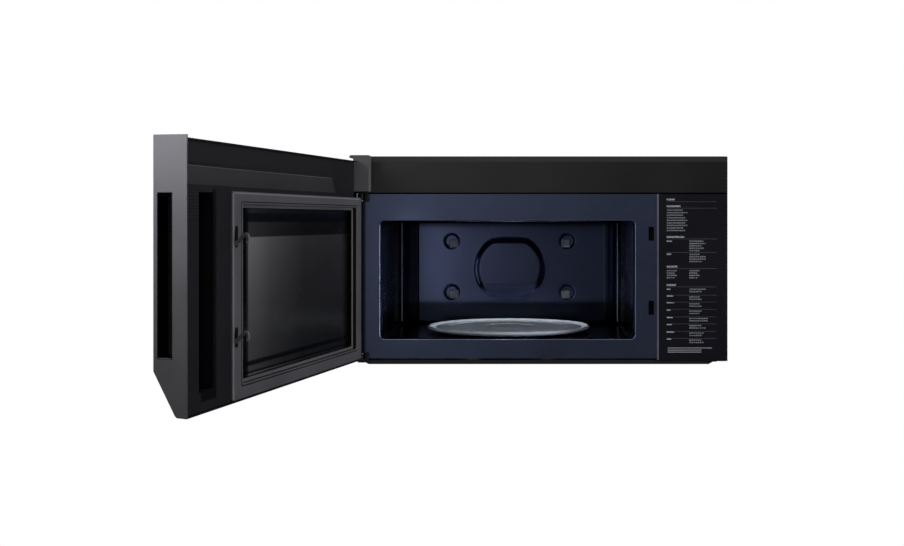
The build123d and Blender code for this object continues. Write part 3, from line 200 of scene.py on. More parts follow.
def soft_block(centre, half, power=0.35, rings=16, ring=32):
    """A rounded block: a sphere whose sines and cosines are raised to a power below one."""
    def push(value):
        return np.sign(value) * np.abs(value) ** power

    around = np.linspace(0, 2 * math.pi, ring, endpoint=False)[None, :]
    along = np.linspace(-math.pi / 2, math.pi / 2, rings + 2)[1:-1, None]
    x = push(np.cos(along)) * push(np.cos(around))
    z = push(np.cos(along)) * push(np.sin(around))
    y = push(np.sin(along)) + 0 * around
    block = np.stack([centre[0] + half[0] * x, centre[1] + half[1] * y, centre[2] + half[2] * z], -1)
    poles = [[centre[0], centre[1] + end * half[1], centre[2]] for end in (-1, 1)]
    return np.concatenate([block.reshape(-1, 3), poles]), ball_faces(rings, ring)


def flat_bar(left, right, y, low, high, thickness):
    """Corners and faces of a flat bar that faces -Y: it reaches from y back by the thickness."""
    points = np.array([[x, depth, z] for depth in (y, y + thickness) for x in (left, right) for z in (low, high)])
    faces = [[0, 1, 3, 2], [4, 6, 7, 5], [0, 2, 6, 4], [1, 5, 7, 3], [0, 4, 5, 1], [2, 3, 7, 6]]
    return points, faces


def flat_bars(edges, y, thickness=0.06 * MM):
    """Flat bars as one shape, from the left, right, low and high edge of each in mm."""
    return join_shapes([flat_bar(left * MM, right * MM, y, BOTTOM + low * MM, BOTTOM + high * MM, thickness)
                        for left, right, low, high in edges])


def cut_plate(outline, x, half, bevel):
    """A plate cut to an outline of (depth from the door's back, height) in mm, with bevelled edges."""
    outline = np.array(outline, float)
    ahead = np.roll(outline, -1, 0) - outline
    ahead /= np.linalg.norm(ahead, axis=1)[:, None]
    behind = np.roll(ahead, 1, 0)
    inward = np.stack([-(ahead + behind)[:, 1], (ahead + behind)[:, 0]], -1)
    inward /= np.linalg.norm(inward, axis=1)[:, None]
    loops = []
    for across, inset in ((-half, bevel), (bevel - half, 0), (half - bevel, 0), (half, bevel)):
        ring = outline + inward * inset
        loops.append(np.stack([np.full(len(ring), (x + across) * MM), DOOR_BACK + ring[:, 0] * MM,
                               BOTTOM + ring[:, 1] * MM], -1))
    return np.array(loops).reshape(-1, 3), tube_faces(len(loops), len(outline))


def join_shapes(shapes):
    """Puts several (points, faces) together as one."""
    points, faces, count = [], [], 0
    for shape_points, shape_faces in shapes:
        points.append(np.asarray(shape_points).reshape(-1, 3))
        faces += [[corner + count for corner in face] for face in shape_faces]
        count += len(points[-1])
    return np.concatenate(points), faces


def swing_open(points):
    """Turns points of the closed door about the hinge axis to where the door rests, open."""
    angle = -math.radians(HINGE["range_deg"][1])
    pivot = np.array(HINGE["pos_m"][:2])
    points = np.array(points, float).reshape(-1, 3)
    cos, sin = math.cos(angle), math.sin(angle)
    points[:, :2] = (points[:, :2] - pivot) @ np.array([[cos, sin], [-sin, cos]]) + pivot
    return points


def sheet_thickness(piece, thickness, offset):
    """Gives an open sheet its wall with a Solidify modifier."""
    wall = piece.modifiers.new("wall", "SOLIDIFY")
    wall.thickness = thickness
    wall.offset = offset


def finish_rows(piece, finish, columns, rows):
    """Gives the faces in the named rows of a grid a second finish."""
    piece.data.materials.append(bpy.data.materials[finish])
    index = np.zeros(len(piece.data.polygons), np.int32)
    piece.data.polygons.foreach_get("material_index", index)
    row = np.arange(len(index)) // columns
    index[np.isin(row, rows)] = len(piece.data.materials) - 1
    piece.data.polygons.foreach_set("material_index", index)


def smoothstep(value):
    """0 below 0, 1 above 1, and 3t^2 - 2t^3 between."""
    t = np.clip(value, 0, 1)
    return t * t * (3 - 2 * t)


# ---------------------------------------------------------------- finishes
class Nodes:
    """Adds shader nodes to a material or world and links them."""

    def __init__(self, owner):
        owner.use_nodes = True
        self.tree = owner.node_tree
        self.tree.nodes.clear()

    def add(self, kind, inputs=None, **settings):
        """A node with these settings, and with a value or another node's output on each named input."""
        node = self.tree.nodes.new(kind)
        for name, value in settings.items():
            setattr(node, name, value)
        for name, value in (inputs or {}).items():
            socket = node.inputs[name]
            if isinstance(value, bpy.types.NodeSocket):
                self.tree.links.new(value, socket)
            else:
                socket.default_value = value
        return node

    def profile(self, value, stops):
        """Grey level along a value: straight lines between (value, level) stops."""
        start, end = stops[0][0], stops[-1][0]
        share = self.add("ShaderNodeMapRange", {"Value": value, "From Min": start, "From Max": end})
        node = self.add("ShaderNodeValToRGB", {"Fac": share.outputs[0]})
        elements = node.color_ramp.elements
        for place, level in stops[1:-1]:
            elements.new((place - start) / (end - start)).color = (level, level, level, 1)
        elements[0].color = (*[stops[0][1]] * 3, 1)
        elements[len(elements) - 1].color = (*[stops[-1][1]] * 3, 1)
        return node.outputs["Color"]

    def times(self, first, second):
        """One colour multiplied by another."""
        return self.add("ShaderNodeMix", {"Factor": 1.0, "A": first, "B": second}, data_type="RGBA",
                        blend_type="MULTIPLY").outputs["Result"]

    def ramp(self, factor, low, high, stops=(0.35, 0.65)):
        """A colour that goes from low to high while the factor passes between two stops."""
        node = self.add("ShaderNodeValToRGB", {"Fac": factor})
        node.color_ramp.elements[0].position, node.color_ramp.elements[1].position = stops
        node.color_ramp.elements[0].color = (*low, 1)
        node.color_ramp.elements[1].color = (*high, 1)
        return node.outputs["Color"]

    def between(self, value, low, high, **settings):
        """A value from 0 to 1 brought to lie between low and high."""
        return self.add("ShaderNodeMapRange", {"Value": value, "To Min": low, "To Max": high, **settings}).outputs[0]

    def surface(self, inputs):
        """Ends a material with a Principled shader."""
        shader = self.add("ShaderNodeBsdfPrincipled", inputs)
        self.add("ShaderNodeOutputMaterial", {"Surface": shader.outputs[0]})

    def seen(self, others, camera, output):
        """Ends a material or world whose camera rays see one shader and all other rays another."""
        ray = self.add("ShaderNodeLightPath").outputs["Is Camera Ray"]
        mix = self.add("ShaderNodeMixShader", {0: ray, 1: others.outputs[0], 2: camera.outputs[0]})
        self.add(output, {"Surface": mix.outputs[0]})


def new_material(name):
    """The nodes of a new material, and its Object coordinates."""
    nodes = Nodes(bpy.data.materials.new(name))
    return nodes, nodes.add("ShaderNodeTexCoord").outputs["Object"]


def shade(colour, factor):
    """The colour made lighter or darker by a factor."""
    return tuple(min(1.0, channel * factor) for channel in colour)


def make_finish(name, colour, roughness, metallic=0.0, grain=(1, 1, 1), grain_scale=600.0,
                depth=0.04 * MM, variation=0.12, rough_swing=0.08, shadows=(), fade=None, **sockets):
    """A finish whose colour, roughness and surface follow two sizes of noise on Object coordinates.

    The fine noise, stretched by grain, gives the bump and part of the roughness.  The coarse
    noise shades the colour and shifts the roughness as wiping and handling do.  A painted shadow is a
    dark band across an axis from start to end, and the falloff takes the colour down to a share along X
    as painted shade of a lamp's light falling off.
    """
    nodes, place = new_material(name)
    stretched = nodes.add("ShaderNodeMapping", {"Vector": place, "Scale": grain}).outputs["Vector"]
    fine = nodes.add("ShaderNodeTexNoise", {"Vector": stretched, "Scale": grain_scale, "Detail": 3.0,
                                            "Roughness": 0.6})
    coarse = nodes.add("ShaderNodeTexNoise", {"Vector": place, "Scale": 8.0, "Detail": 4.0,
                                              "Roughness": 0.55})
    base = nodes.ramp(coarse.outputs["Fac"], shade(colour, 1 - variation), shade(colour, 1 + variation))
    both = nodes.add("ShaderNodeMath", {0: fine.outputs["Fac"], 1: coarse.outputs["Fac"]}, operation="ADD")
    rough = nodes.between(both.outputs[0], max(0.02, roughness - rough_swing),
                          min(1.0, roughness + rough_swing), **{"From Min": 0.6, "From Max": 1.4})
    bump = nodes.add("ShaderNodeBump", {"Height": fine.outputs["Fac"], "Distance": depth, "Strength": 1.0})
    axes = nodes.add("ShaderNodeSeparateXYZ", {"Vector": place}).outputs
    # painted shade: the colour darkens along X as a lamp's light falls off
    if fade:
        start, end, share = fade
        base = nodes.times(base, nodes.between(axes[0], 1.0, share, **{"From Min": start, "From Max": end}))
    for axis, start, end in shadows:
        middle, half = (start + end) / 2, (end - start) / 2
        away = nodes.add("ShaderNodeMath", {0: axes[axis], 1: middle}, operation="SUBTRACT").outputs[0]
        away = nodes.add("ShaderNodeMath", {0: away}, operation="ABSOLUTE").outputs[0]
        light = nodes.add("ShaderNodeMapRange", {"Value": away, "From Min": half * 0.7, "From Max": half * 1.1,
                                                 "To Min": 0.2, "To Max": 1.0},
                          interpolation_type="SMOOTHSTEP").outputs[0]
        base = nodes.times(base, light)
    nodes.surface({"Base Color": base, "Roughness": rough, "Normal": bump.outputs[0], "Metallic": metallic,
                   **sockets})


def make_dotted(name, colour, hole_colour, pitch, share, roughness, metallic):
    """A sheet with a square pattern of punched dots."""
    nodes, place = new_material(name)
    cells = nodes.add("ShaderNodeTexVoronoi", {"Vector": place, "Scale": 1 / pitch, "Randomness": 0.0},
                      voronoi_dimensions="3D")
    dots = nodes.ramp(cells.outputs["Distance"], hole_colour, colour, (share, share + 0.06))
    nodes.surface({"Base Color": dots, "Roughness": roughness, "Metallic": metallic})


def moulded_wave(nodes, place, depth):
    """The slow waves of moulded glass: their level, and a bump of this depth."""
    wave = nodes.add("ShaderNodeTexNoise", {"Vector": place, "Scale": 60.0, "Detail": 2.0}).outputs["Fac"]
    bump = nodes.add("ShaderNodeBump", {"Height": wave, "Distance": depth, "Strength": 0.5})
    return wave, bump.outputs[0]


def make_glass(name, tint, roughness):
    """Clear moulded glass whose surface waves slightly."""
    nodes, place = new_material(name)
    wave, bump = moulded_wave(nodes, place, 0.4 * MM)
    nodes.surface({"Base Color": (*tint, 1), "Roughness": nodes.between(wave, roughness * 0.5, roughness * 1.5),
                   "IOR": 1.5, "Transmission Weight": 1.0, "Normal": bump})


def make_tray_glass(centre, radius):
    """Moulded glass with painted highlights: pale rings at its ridges and on its rim, by distance from the tray's
    axis.
    """
    nodes, place = new_material("tray_glass")
    away = nodes.add("ShaderNodeMapping", {"Vector": place, "Location": (-centre[0], -centre[1], 0),
                                           "Scale": (1, 1, 0)}).outputs["Vector"]
    distance = nodes.add("ShaderNodeVectorMath", {0: away}, operation="LENGTH").outputs["Value"]
    # painted highlights: the paler stops are rings at the ridges and on the rim
    level = nodes.profile(distance, [(share * radius, level) for share, level in (
        (0, 0.042), (0.28, 0.048), (0.3, 0.08), (0.32, 0.052), (0.68, 0.1), (0.7, 0.14), (0.72, 0.11),
        (0.89, 0.17), (0.905, 1.0), (0.93, 1.0), (0.945, 0.32), (0.975, 0.32), (0.985, 0.9), (1.0, 0.9))])
    wave, bump = moulded_wave(nodes, place, 0.06 * MM)
    tint = nodes.ramp(wave, (0.74, 0.83, 1.0), (0.8, 0.88, 1.0))
    nodes.surface({"Base Color": nodes.times(level, tint), "Roughness": nodes.between(wave, 0.06, 0.18),
                   "IOR": 1.5, "Transmission Weight": 0.25, "Normal": bump})


def make_spangle(name, colour):
    """Galvanised steel: flat crystals of a centimetre, each a little lighter or darker."""
    nodes, place = new_material(name)
    crystals = nodes.add("ShaderNodeTexVoronoi", {"Vector": place, "Scale": 110.0})
    grey = nodes.add("ShaderNodeSeparateColor", {"Color": crystals.outputs["Color"]})
    base = nodes.ramp(grey.outputs[0], shade(colour, 0.8), shade(colour, 1.15), (0.0, 1.0))
    nodes.surface({"Base Color": base, "Roughness": nodes.between(grey.outputs[1], 0.32, 0.5), "Metallic": 0.9})


def make_pane(name):
    """Dark glass: a printed black border, and a middle where the punched screen shows through, with painted light:
    lighter towards the door's free end and the top, painted highlight bands, and a painted shadow band under the
    frame's top edge.
    """
    nodes = Nodes(bpy.data.materials.new(name))
    place = nodes.add("ShaderNodeUVMap", uv_map="door_plane").outputs[0]
    axes = nodes.add("ShaderNodeSeparateXYZ", {"Vector": place})
    cells = nodes.add("ShaderNodeTexVoronoi", {"Vector": place, "Scale": 600.0, "Randomness": 0.0},
                      voronoi_dimensions="2D")
    holes = nodes.ramp(cells.outputs["Distance"], (0.55, 0.54, 0.6), (0.96, 0.945, 1), (0.30, 0.42))
    # painted light: between the printed black ends the pane grows lighter towards the door's free end
    across = nodes.profile(axes.outputs[0], (
        (-0.34, 0.003), (-0.322, 0.004), (-0.311, 0.012), (-0.30, 0.03), (-0.28, 0.05), (-0.09, 0.058),
        (0.0, 0.11), (0.057, 0.16), (0.1, 0.24), (0.143, 0.31), (0.1455, 0.06), (0.151, 0.05), (0.153, 0.003),
        (0.201, 0.003)))
    # painted light: the pane grows lighter upwards, with thin painted highlight bands near the bottom and at the top
    # and a painted shadow band under the frame's top edge
    up = nodes.profile(axes.outputs[1], (
        (0.03, 0.03), (0.0445, 0.03), (0.0455, 0.6), (0.047, 0.6), (0.048, 0.03), (0.0505, 0.03), (0.052, 0.28),
        (0.0595, 0.28), (0.0615, 0.03), (0.067, 0.03), (0.07, 0.3), (0.088, 0.33), (0.095, 0.32), (0.13, 0.4),
        (0.2, 0.66), (0.24, 0.84), (0.2715, 1.0), (0.2725, 0.2), (0.2965, 0.2), (0.2975, 0.03), (0.311, 0.03),
        (0.313, 0.12), (0.33, 0.12)))
    smear = nodes.add("ShaderNodeTexNoise", {"Vector": place, "Scale": 9.0, "Detail": 3.0})
    nodes.surface({"Base Color": nodes.times(nodes.times(across, up), holes),
                   "Roughness": nodes.between(smear.outputs["Fac"], 0.14, 0.3), "Specular IOR Level": 0.2})


def give_finish(finish, *solids):
    """Puts a finish on CAD nodes."""
    for name in solids:
        mesh = frame["nodes"][name].data
        mesh.materials.clear()
        mesh.materials.append(bpy.data.materials[finish])


# Each finish has a colour, or a colour property and a factor, a roughness, other settings of
# make_finish, and the solids that it goes on.
FINISHES = {
    "satin_black_paint": (("case_paint", 1), 0.42, {
        "grain_scale": 1400, "depth": 0.02 * MM, "Coat Weight": 0.15, "Coat Roughness": 0.35},
        ("case_wrap", "base_plate")),
    # the front band's paint darkens from left to right: painted shade of a lamp's light falling off
    "band_paint": (("case_paint", 1.42), 0.42, {"grain_scale": 1400, "fade": (-0.1, 0.35, 0.36)}, ("front_band",)),
    "coated_steel": (("dark_steel", 1), 0.4, {
        "metallic": 0.75, "grain": (60, 60, 1), "grain_scale": 40, "depth": FINE, "variation": 0.06},
        ("door_end_panel",)),
    "cap_steel": (("dark_steel", 0.9), 0.6, {
        "metallic": 0.2, "grain": (60, 60, 1), "grain_scale": 40, "depth": FINE, "variation": 0.06},
        ("hinge_cap",)),
    "blue_black_enamel": (("enamel", 1), 0.3, {
        "metallic": 0.8, "grain_scale": 900, "depth": FINE, "variation": 0.06, "rough_swing": 0.05},
        ("cavity_flange", "cavity_liner")),
    "cavity_enamel": (("cavity_enamel", 1), 0.24, {
        "metallic": 0.9, "grain_scale": 700, "depth": FINE, "variation": 0.08, "rough_swing": 0.05,
        "shadows": ((0, -0.334, -0.296), (0, 0.146, 0.178), (2, 0.176, 0.256), (2, -0.066, 0.002))}, ()),
    # a paler copy of the enamel: the painted highlight on the mouth's bead
    "edge_enamel": (("enamel", 3.6), 0.24, {
        "metallic": 0.9, "grain_scale": 900, "depth": FINE, "variation": 0.06}, ()),
    # pale enamel: painted glints on the rear corners' creases and on the dome's flank
    "crease_enamel": ((0.8, 0.84, 0.95), 0.4, {"metallic": 0.2, "grain_scale": 900, "depth": FINE}, ()),
    # paler grey: painted highlights on the window's lip and bead and on the rail's ridge
    "bead_grey": ((0.13, 0.13, 0.138), 0.35, {"grain_scale": 1500, "depth": FINE}, ()),
    # pale grey: painted highlights on the frame's edges and the pull's sill
    "edge_grey": ((0.26, 0.26, 0.28), 0.35, {"grain_scale": 1500, "depth": FINE}, ()),
    "stud_grey": ((0.45, 0.49, 0.6), 0.32, {"grain_scale": 1500, "depth": FINE}, ()),
    "hook_grey": ((0.2, 0.2, 0.215), 0.4, {"grain_scale": 1500, "depth": FINE}, ()),
    "rib_black": ((0.03, 0.03, 0.033), 0.35, {"grain_scale": 1500, "depth": FINE}, ()),
    "rail_grey_plastic": ((0.031, 0.0305, 0.037), 0.45, {"grain_scale": 2200, "depth": FINE}, ()),
    # near black: painted shade in the frame's grooves, the hook slits, the pocket strips and the hinge gap, and the
    # pull's black liner
    "deep_black_plastic": ((0.003, 0.003, 0.004), 0.35, {
        "grain_scale": 2200, "depth": FINE, "Specular IOR Level": 0.2}, ()),
    "door_black_plastic": (("door_black", 1), 0.42, {
        "grain_scale": 2200, "depth": FINE, "Specular IOR Level": 0.35},
        ("door_shell", "door_back_cover", "latch_key", "latch_guides")),
    "door_frame_grey": (("door_moulding", 1), 0.42, {"grain_scale": 1800, "depth": FINE}, ("door_choke_frame",)),
    "grained_black_plastic": ((0.014, 0.014, 0.015), 0.5, {"grain_scale": 2600, "depth": 0.03 * MM}, (
        "rack_studs", "latch_housing", "interlock_switches", "cooling_fan", "blower_wheels")),
    "pale_plastic": ((0.42, 0.42, 0.4), 0.5, {"grain_scale": 2000}, (
        "cavity_lamp", "cooktop_lamps", "turntable_coupler")),
    "plunger_plastic": ((0.05, 0.05, 0.055), 0.45, {"grain_scale": 2000}, (
        "switch_plunger_upper", "switch_plunger_lower")),
    "varnished_iron": ((0.09, 0.08, 0.08), 0.5, {
        "metallic": 0.6, "grain": (1, 300, 1), "grain_scale": 8, "depth": 0.2 * MM},
        ("transformer_core", "fan_motor", "blower_motor")),
    "enamelled_wire": ((0.42, 0.13, 0.04), 0.35, {
        "metallic": 0.8, "grain": (1, 1, 300), "grain_scale": 8, "depth": 0.4 * MM}, ("transformer_windings",)),
    "plain_aluminium": ((0.55, 0.55, 0.57), 0.38, {"metallic": 0.95, "grain_scale": 500}, (
        "magnetron_core", "capacitor", "grease_filter_left", "grease_filter_right")),
    "circuit_board": ((0.01, 0.08, 0.03), 0.4, {"grain_scale": 150, "variation": 0.4}, (
        "power_board", "door_control_board")),
    "black_rubber": ((0.012, 0.012, 0.012), 0.7, {"grain_scale": 1500}, ("cord_gland",)),
    "black_oxide_steel": ((0.012, 0.012, 0.013), 0.62, {"metallic": 0.15}, (
        "door_hinge_plates", "hinge_brackets", "case_screws")),
    "spring_wire": ((0.4, 0.4, 0.42), 0.3, {"metallic": 0.95, "grain_scale": 2500}, ("latch_spring",)),
    "mica_sheet": ((0.024, 0.024, 0.028), 0.45, {"grain_scale": 90, "depth": 0.1 * MM, "variation": 0.3},
                   ("waveguide_cover",)),
    "carbon_filter": ((0.02, 0.02, 0.02), 0.8, {"grain_scale": 300, "depth": 1 * MM}, ("charcoal_filter",)),
    "grey_nylon": ((0.16, 0.17, 0.19), 0.45, {"grain_scale": 1500}, (
        "roller_ring", "roller_1", "roller_2", "roller_3")),
    "tinted_pane": ((0.006, 0.006, 0.007), 0.12, {
        "grain_scale": 30, "depth": 0.02 * MM, "rough_swing": 0.04, "Coat Weight": 0.6, "Coat Roughness": 0.05},
        ("door_inner_pane",)),
    "black_glass": ((0.004, 0.004, 0.005), 0.08, {
        "grain_scale": 20, "depth": FINE, "rough_swing": 0.03, "Coat Weight": 1.0, "Coat Roughness": 0.02},
        ("door_glass",)),
    "label_gloss": ((0.011, 0.011, 0.018), 0.3, {
        "grain_scale": 1500, "depth": 0.004 * MM, "Specular IOR Level": 0.3}, ("label_panel",)),
    "satin_trim": ((0.38, 0.4, 0.46), 0.35, {"metallic": 0.8, "grain": (1, 1, 60), "grain_scale": 30},
                   ("trim_strip",)),
    # paler glass: the painted highlight on the tray's rim
    "rim_glass": ((0.78, 0.86, 1.0), 0.14, {
        "grain_scale": 60, "depth": 0.03 * MM, "variation": 0.04, "rough_swing": 0.06,
        "Transmission Weight": 0.1}, ()),
    "pale_print": ((0.68, 0.7, 0.76), 0.6, {"grain_scale": 3000, "depth": 0.0}, ()),
    "bold_print": ((0.85, 0.86, 0.9), 0.6, {"grain_scale": 3000, "depth": 0.0}, ()),
    "rule_print": ((0.2, 0.21, 0.24), 0.6, {"grain_scale": 3000, "depth": 0.0}, ()),
}


# ---------------------------------------------------------------- properties
class OvenColours(bpy.types.PropertyGroup):
    """Colours of the finishes."""

    case_paint: bpy.props.FloatVectorProperty(
        name="Case paint", description="Satin black paint of the case and the front band",
        default=(0.018, 0.018, 0.019), subtype="COLOR", size=3, min=0, max=1)
    dark_steel: bpy.props.FloatVectorProperty(
        name="Dark steel", description="Coated steel of the door's end panel and the hinge cap",
        default=(0.186, 0.185, 0.203), subtype="COLOR", size=3, min=0, max=1)
    enamel: bpy.props.FloatVectorProperty(
        name="Enamel", description="Blue-black enamel of the cavity and its flange",
        default=(0.098, 0.122, 0.215), subtype="COLOR", size=3, min=0, max=1)
    cavity_enamel: bpy.props.FloatVectorProperty(
        name="Cavity enamel", description="Glossier blue-black enamel inside the cavity",
        default=(0.085, 0.106, 0.205), subtype="COLOR", size=3, min=0, max=1)
    door_moulding: bpy.props.FloatVectorProperty(
        name="Door moulding", description="Grey plastic of the frame round the window",
        default=(0.112, 0.111, 0.127), subtype="COLOR", size=3, min=0, max=1)
    door_black: bpy.props.FloatVectorProperty(
        name="Door black", description="Black plastic behind the door glass",
        default=(0.0115, 0.0112, 0.0148), subtype="COLOR", size=3, min=0, max=1)


class OvenSizes(bpy.types.PropertyGroup):
    """Sizes of the pieces that are added to the solids."""

    tray_radius: bpy.props.FloatProperty(
        name="Tray radius", description="Outer radius of the glass turntable tray",
        default=0.182, min=0.05, unit="LENGTH")
    tray_rim: bpy.props.FloatProperty(
        name="Tray rim", description="Height of the tray's rim above the underside of its flat middle",
        default=0.0048, min=0.004, unit="LENGTH")
    dome_height: bpy.props.FloatProperty(
        name="Dome height", description="How far the pressed dome stands out of the cavity's rear wall",
        default=0.007, min=0.0, unit="LENGTH")
    corner_bend: bpy.props.FloatProperty(
        name="Corner bend", description="Radius of the cavity's upright rear corners",
        default=0.05, min=0.01, unit="LENGTH")
    print_height: bpy.props.FloatProperty(
        name="Print height", description="Height of the figures on the label panel",
        default=0.0036, min=0.001, unit="LENGTH")


class OvenStage(bpy.types.PropertyGroup):
    """The room round the oven."""

    floor_drop: bpy.props.FloatProperty(
        name="Floor drop", description="Height of the oven's underside above the floor",
        default=1.37, min=0.3, unit="LENGTH")
    lens: bpy.props.FloatProperty(
        name="Lens", description="Focal length of the camera on a 36 mm sensor, in millimetres",
        default=47.39, min=10, max=200)
    light_power: bpy.props.FloatProperty(
        name="Light power", description="Strength of all the soft lights together",
        default=1.0, min=0.0)


# ---------------------------------------------------------------- operators
class OVEN_OT_finishes(bpy.types.Operator):
    """Make the finishes and give every solid of the oven its own"""

    bl_idname = "oven.finishes"
    bl_label = "Finish the solids"

    def execute(self, context):
        colours = context.scene.oven_colours
        for name, (colour, roughness, settings, solids) in FINISHES.items():
            if isinstance(colour[0], str):
                colour = shade(getattr(colours, colour[0]), colour[1])
            make_finish(name, colour, roughness, **settings)
            give_finish(name, *solids)
        make_spangle("galvanised_steel", (0.42, 0.43, 0.45))
        give_finish("galvanised_steel", "rear_panel", "wall_plate", "cavity_supports", "exhaust_collar",
                    "damper_flap", "blower_housings", "waveguide", "magnetron_yoke", "fan_shroud",
                    "turntable_motor")
        make_glass("frosted_lens", (0.9, 0.9, 0.9), 0.3)
        give_finish("frosted_lens", "lamp_lenses")
        make_dotted("punched_screen", (0.02, 0.02, 0.02), (0.001, 0.001, 0.001), 1.6 * MM, 0.32, 0.45, 0.6)
        give_finish("punched_screen", "door_screen")
        low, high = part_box("turntable_tray")
        make_tray_glass((low + high) / 2, context.scene.oven_sizes.tray_radius)
        give_finish("tray_glass", "turntable_tray")
        make_pane("window_glass")
        return {"FINISHED"}


class OVEN_OT_cavity(bpy.types.Operator):
    """Make the cavity's enamelled walls and its rear wall with the pressed dome"""

    bl_idname = "oven.cavity"
    bl_label = "Make the cavity"

    def execute(self, context):
        sizes = context.scene.oven_sizes
        add_cavity_walls(sizes.corner_bend)
        add_creases(sizes.corner_bend)
        add_painted_dome_glint(sizes.dome_height)
        back = add_cavity_back(sizes.corner_bend, sizes.dome_height)
        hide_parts("cavity_liner")
        return {"FINISHED"}


def add_cavity_walls(corner_bend):
    """Floor, roof and sides: a rounded outline carried backwards, which then curls in to the rear wall.

    On the curl a point moves inwards by bend * (1 - cos) and backwards by bend * sin.
    """
    outline = rounded_loop(CAVITY_LEFT, CAVITY_RIGHT, CAVITY_FLOOR, CAVITY_ROOF, CAVITY_EDGE, 0.0, 10)
    middle = np.array([(CAVITY_LEFT + CAVITY_RIGHT) / 2, 0, (CAVITY_FLOOR + CAVITY_ROOF) / 2])
    half = np.array([(CAVITY_RIGHT - CAVITY_LEFT) / 2, 1, (CAVITY_ROOF - CAVITY_FLOOR) / 2])
    side = np.clip((np.abs(outline - middle) - (half - CAVITY_EDGE)) / CAVITY_EDGE, 0, 1)
    way = -np.sign(outline - middle) * side
    way[:, 1] = 0
    way /= np.maximum(np.linalg.norm(way, axis=1), 1e-9)[:, None]
    bend = CAVITY_EDGE + (corner_bend - CAVITY_EDGE) * way[:, 0] ** 2
    rings = []
    for depth in np.linspace(FRONT + 1 * MM, CAVITY_REAR - corner_bend, 6):
        ring = outline.copy()
        ring[:, 1] = depth
        rings.append(ring)
    for turn in np.radians([0, 8, 16, 24, 30, CREASE_TURN, 38, 43, 50, 58, 66, 74, 82, 90]):
        ring = outline + way * (bend * (1 - math.cos(turn)))[:, None]
        ring[:, 1] = CAVITY_REAR - bend + bend * math.sin(turn)
        rings.append(ring)
    points = np.array(rings)
    walls = add_piece("cavity_walls", points, grid_faces(len(points), points.shape[1], wrap_columns=True),
                      "oven", "cavity_enamel", crease=60, closed=False)
    sheet_thickness(walls, CAVITY_SHEET, 1)


def add_creases(corner_bend):
    """A pale upright crease on each rear corner, where its curl has turned by CREASE_TURN: the pale colour is a
    painted glint.
    """
    turn, clear = math.radians(CREASE_TURN), 9 * MM
    out, deep = corner_bend * (1 - math.cos(turn)), CAVITY_REAR - corner_bend * (1 - math.sin(turn))
    creases = [round_bar((x, deep, CAVITY_FLOOR + clear), CAVITY_ROOF - CAVITY_FLOOR - 2 * clear, 2,
                         1.8 * MM, 12, 10)
               for x in (CAVITY_LEFT + out, CAVITY_RIGHT - out)]
    points, faces = join_shapes(creases)
    add_piece("corner_creases", points, faces, "oven", "crease_enamel")


def add_painted_dome_glint(dome_height):
    """A painted glint on the dome's flank: a pale bead along an arc, thickest in its middle as sin(pi t)."""
    along = np.linspace(0, 1, 25)[:, None]
    around = np.linspace(0, 2 * math.pi, 8, endpoint=False)[None, :]
    turn = np.radians(156 + 58 * along)
    swell = (0.2 + 1.3 * np.sin(math.pi * along)) * MM
    arc = 80 * MM + swell * np.cos(around)
    flank = CAVITY_REAR - 0.41 * dome_height - 0.5 * MM
    glint = np.stack([DOME_X + arc * np.cos(turn), flank + swell * np.sin(around),
                      DOME_Z + arc * np.sin(turn)], -1)
    add_piece("dome_bead", glint, tube_faces(25, 8), "oven", "crease_enamel")


def add_cavity_back(corner_bend, dome_height):
    """The rear wall: a height field with a flat-topped dome, cut off above and below, and stud wells."""
    x = np.linspace(CAVITY_LEFT + corner_bend - 3 * MM, CAVITY_RIGHT - corner_bend + 8 * MM, 300)
    z = np.linspace(CAVITY_FLOOR + 8 * MM, CAVITY_ROOF - 8 * MM, 160)
    x, z = np.meshgrid(x, z)
    flank, foot = 17 * MM, 87.5 * MM
    dome_low, dome_top = BOTTOM + 98 * MM, BOTTOM + 260 * MM
    rise = dome_height * smoothstep((foot - np.hypot(x - DOME_X, z - DOME_Z)) / flank)
    height = rise * smoothstep((dome_top - z) / flank) * smoothstep((z - dome_low) / (50 * MM))
    for stud_x in STUD_XS:
        for stud_z in STUD_ZS:
            away = np.hypot(x - stud_x, z - stud_z)
            height = height - WELL_DEPTH * smoothstep((20 * MM - away) / (6 * MM))
    back = add_piece("cavity_back", np.stack([x, CAVITY_REAR - height, z], -1), grid_faces(*x.shape),
                     "oven", "cavity_enamel", crease=60, closed=False)
    sheet_thickness(back, CAVITY_SHEET, 1)
    return back


# The tray's section, as shares of its radius and heights in mm: its upper face, and from its rim
# round the outside to the middle of its underside.
TRAY_TOP = ((0, 1.2), (0.28, 1.2), (0.30, 1.6), (0.32, 1.2), (0.68, 1.2), (0.70, 1.6), (0.72, 1.2), (0.89, 1.2),
            (0.91, 1.3), (0.922, 1.7), (0.935, 2.3), (0.95, 3.0), (0.963, 3.6))
TRAY_UNDER = ((0.99, 2.7), (0.996, 1.9), (1.0, 0.9), (1.0, -0.3), (0.992, -1.8), (0.975, -3.8), (0.95, -5.2),
              (0.93, -5.6), (0.72, -5.6), (0.70, -5.2), (0.69, -4.2), (0.685, 0.0), (0.3, 0.0), (0.1, 0.0), (0, 0.0))
TRAY_RING = 288


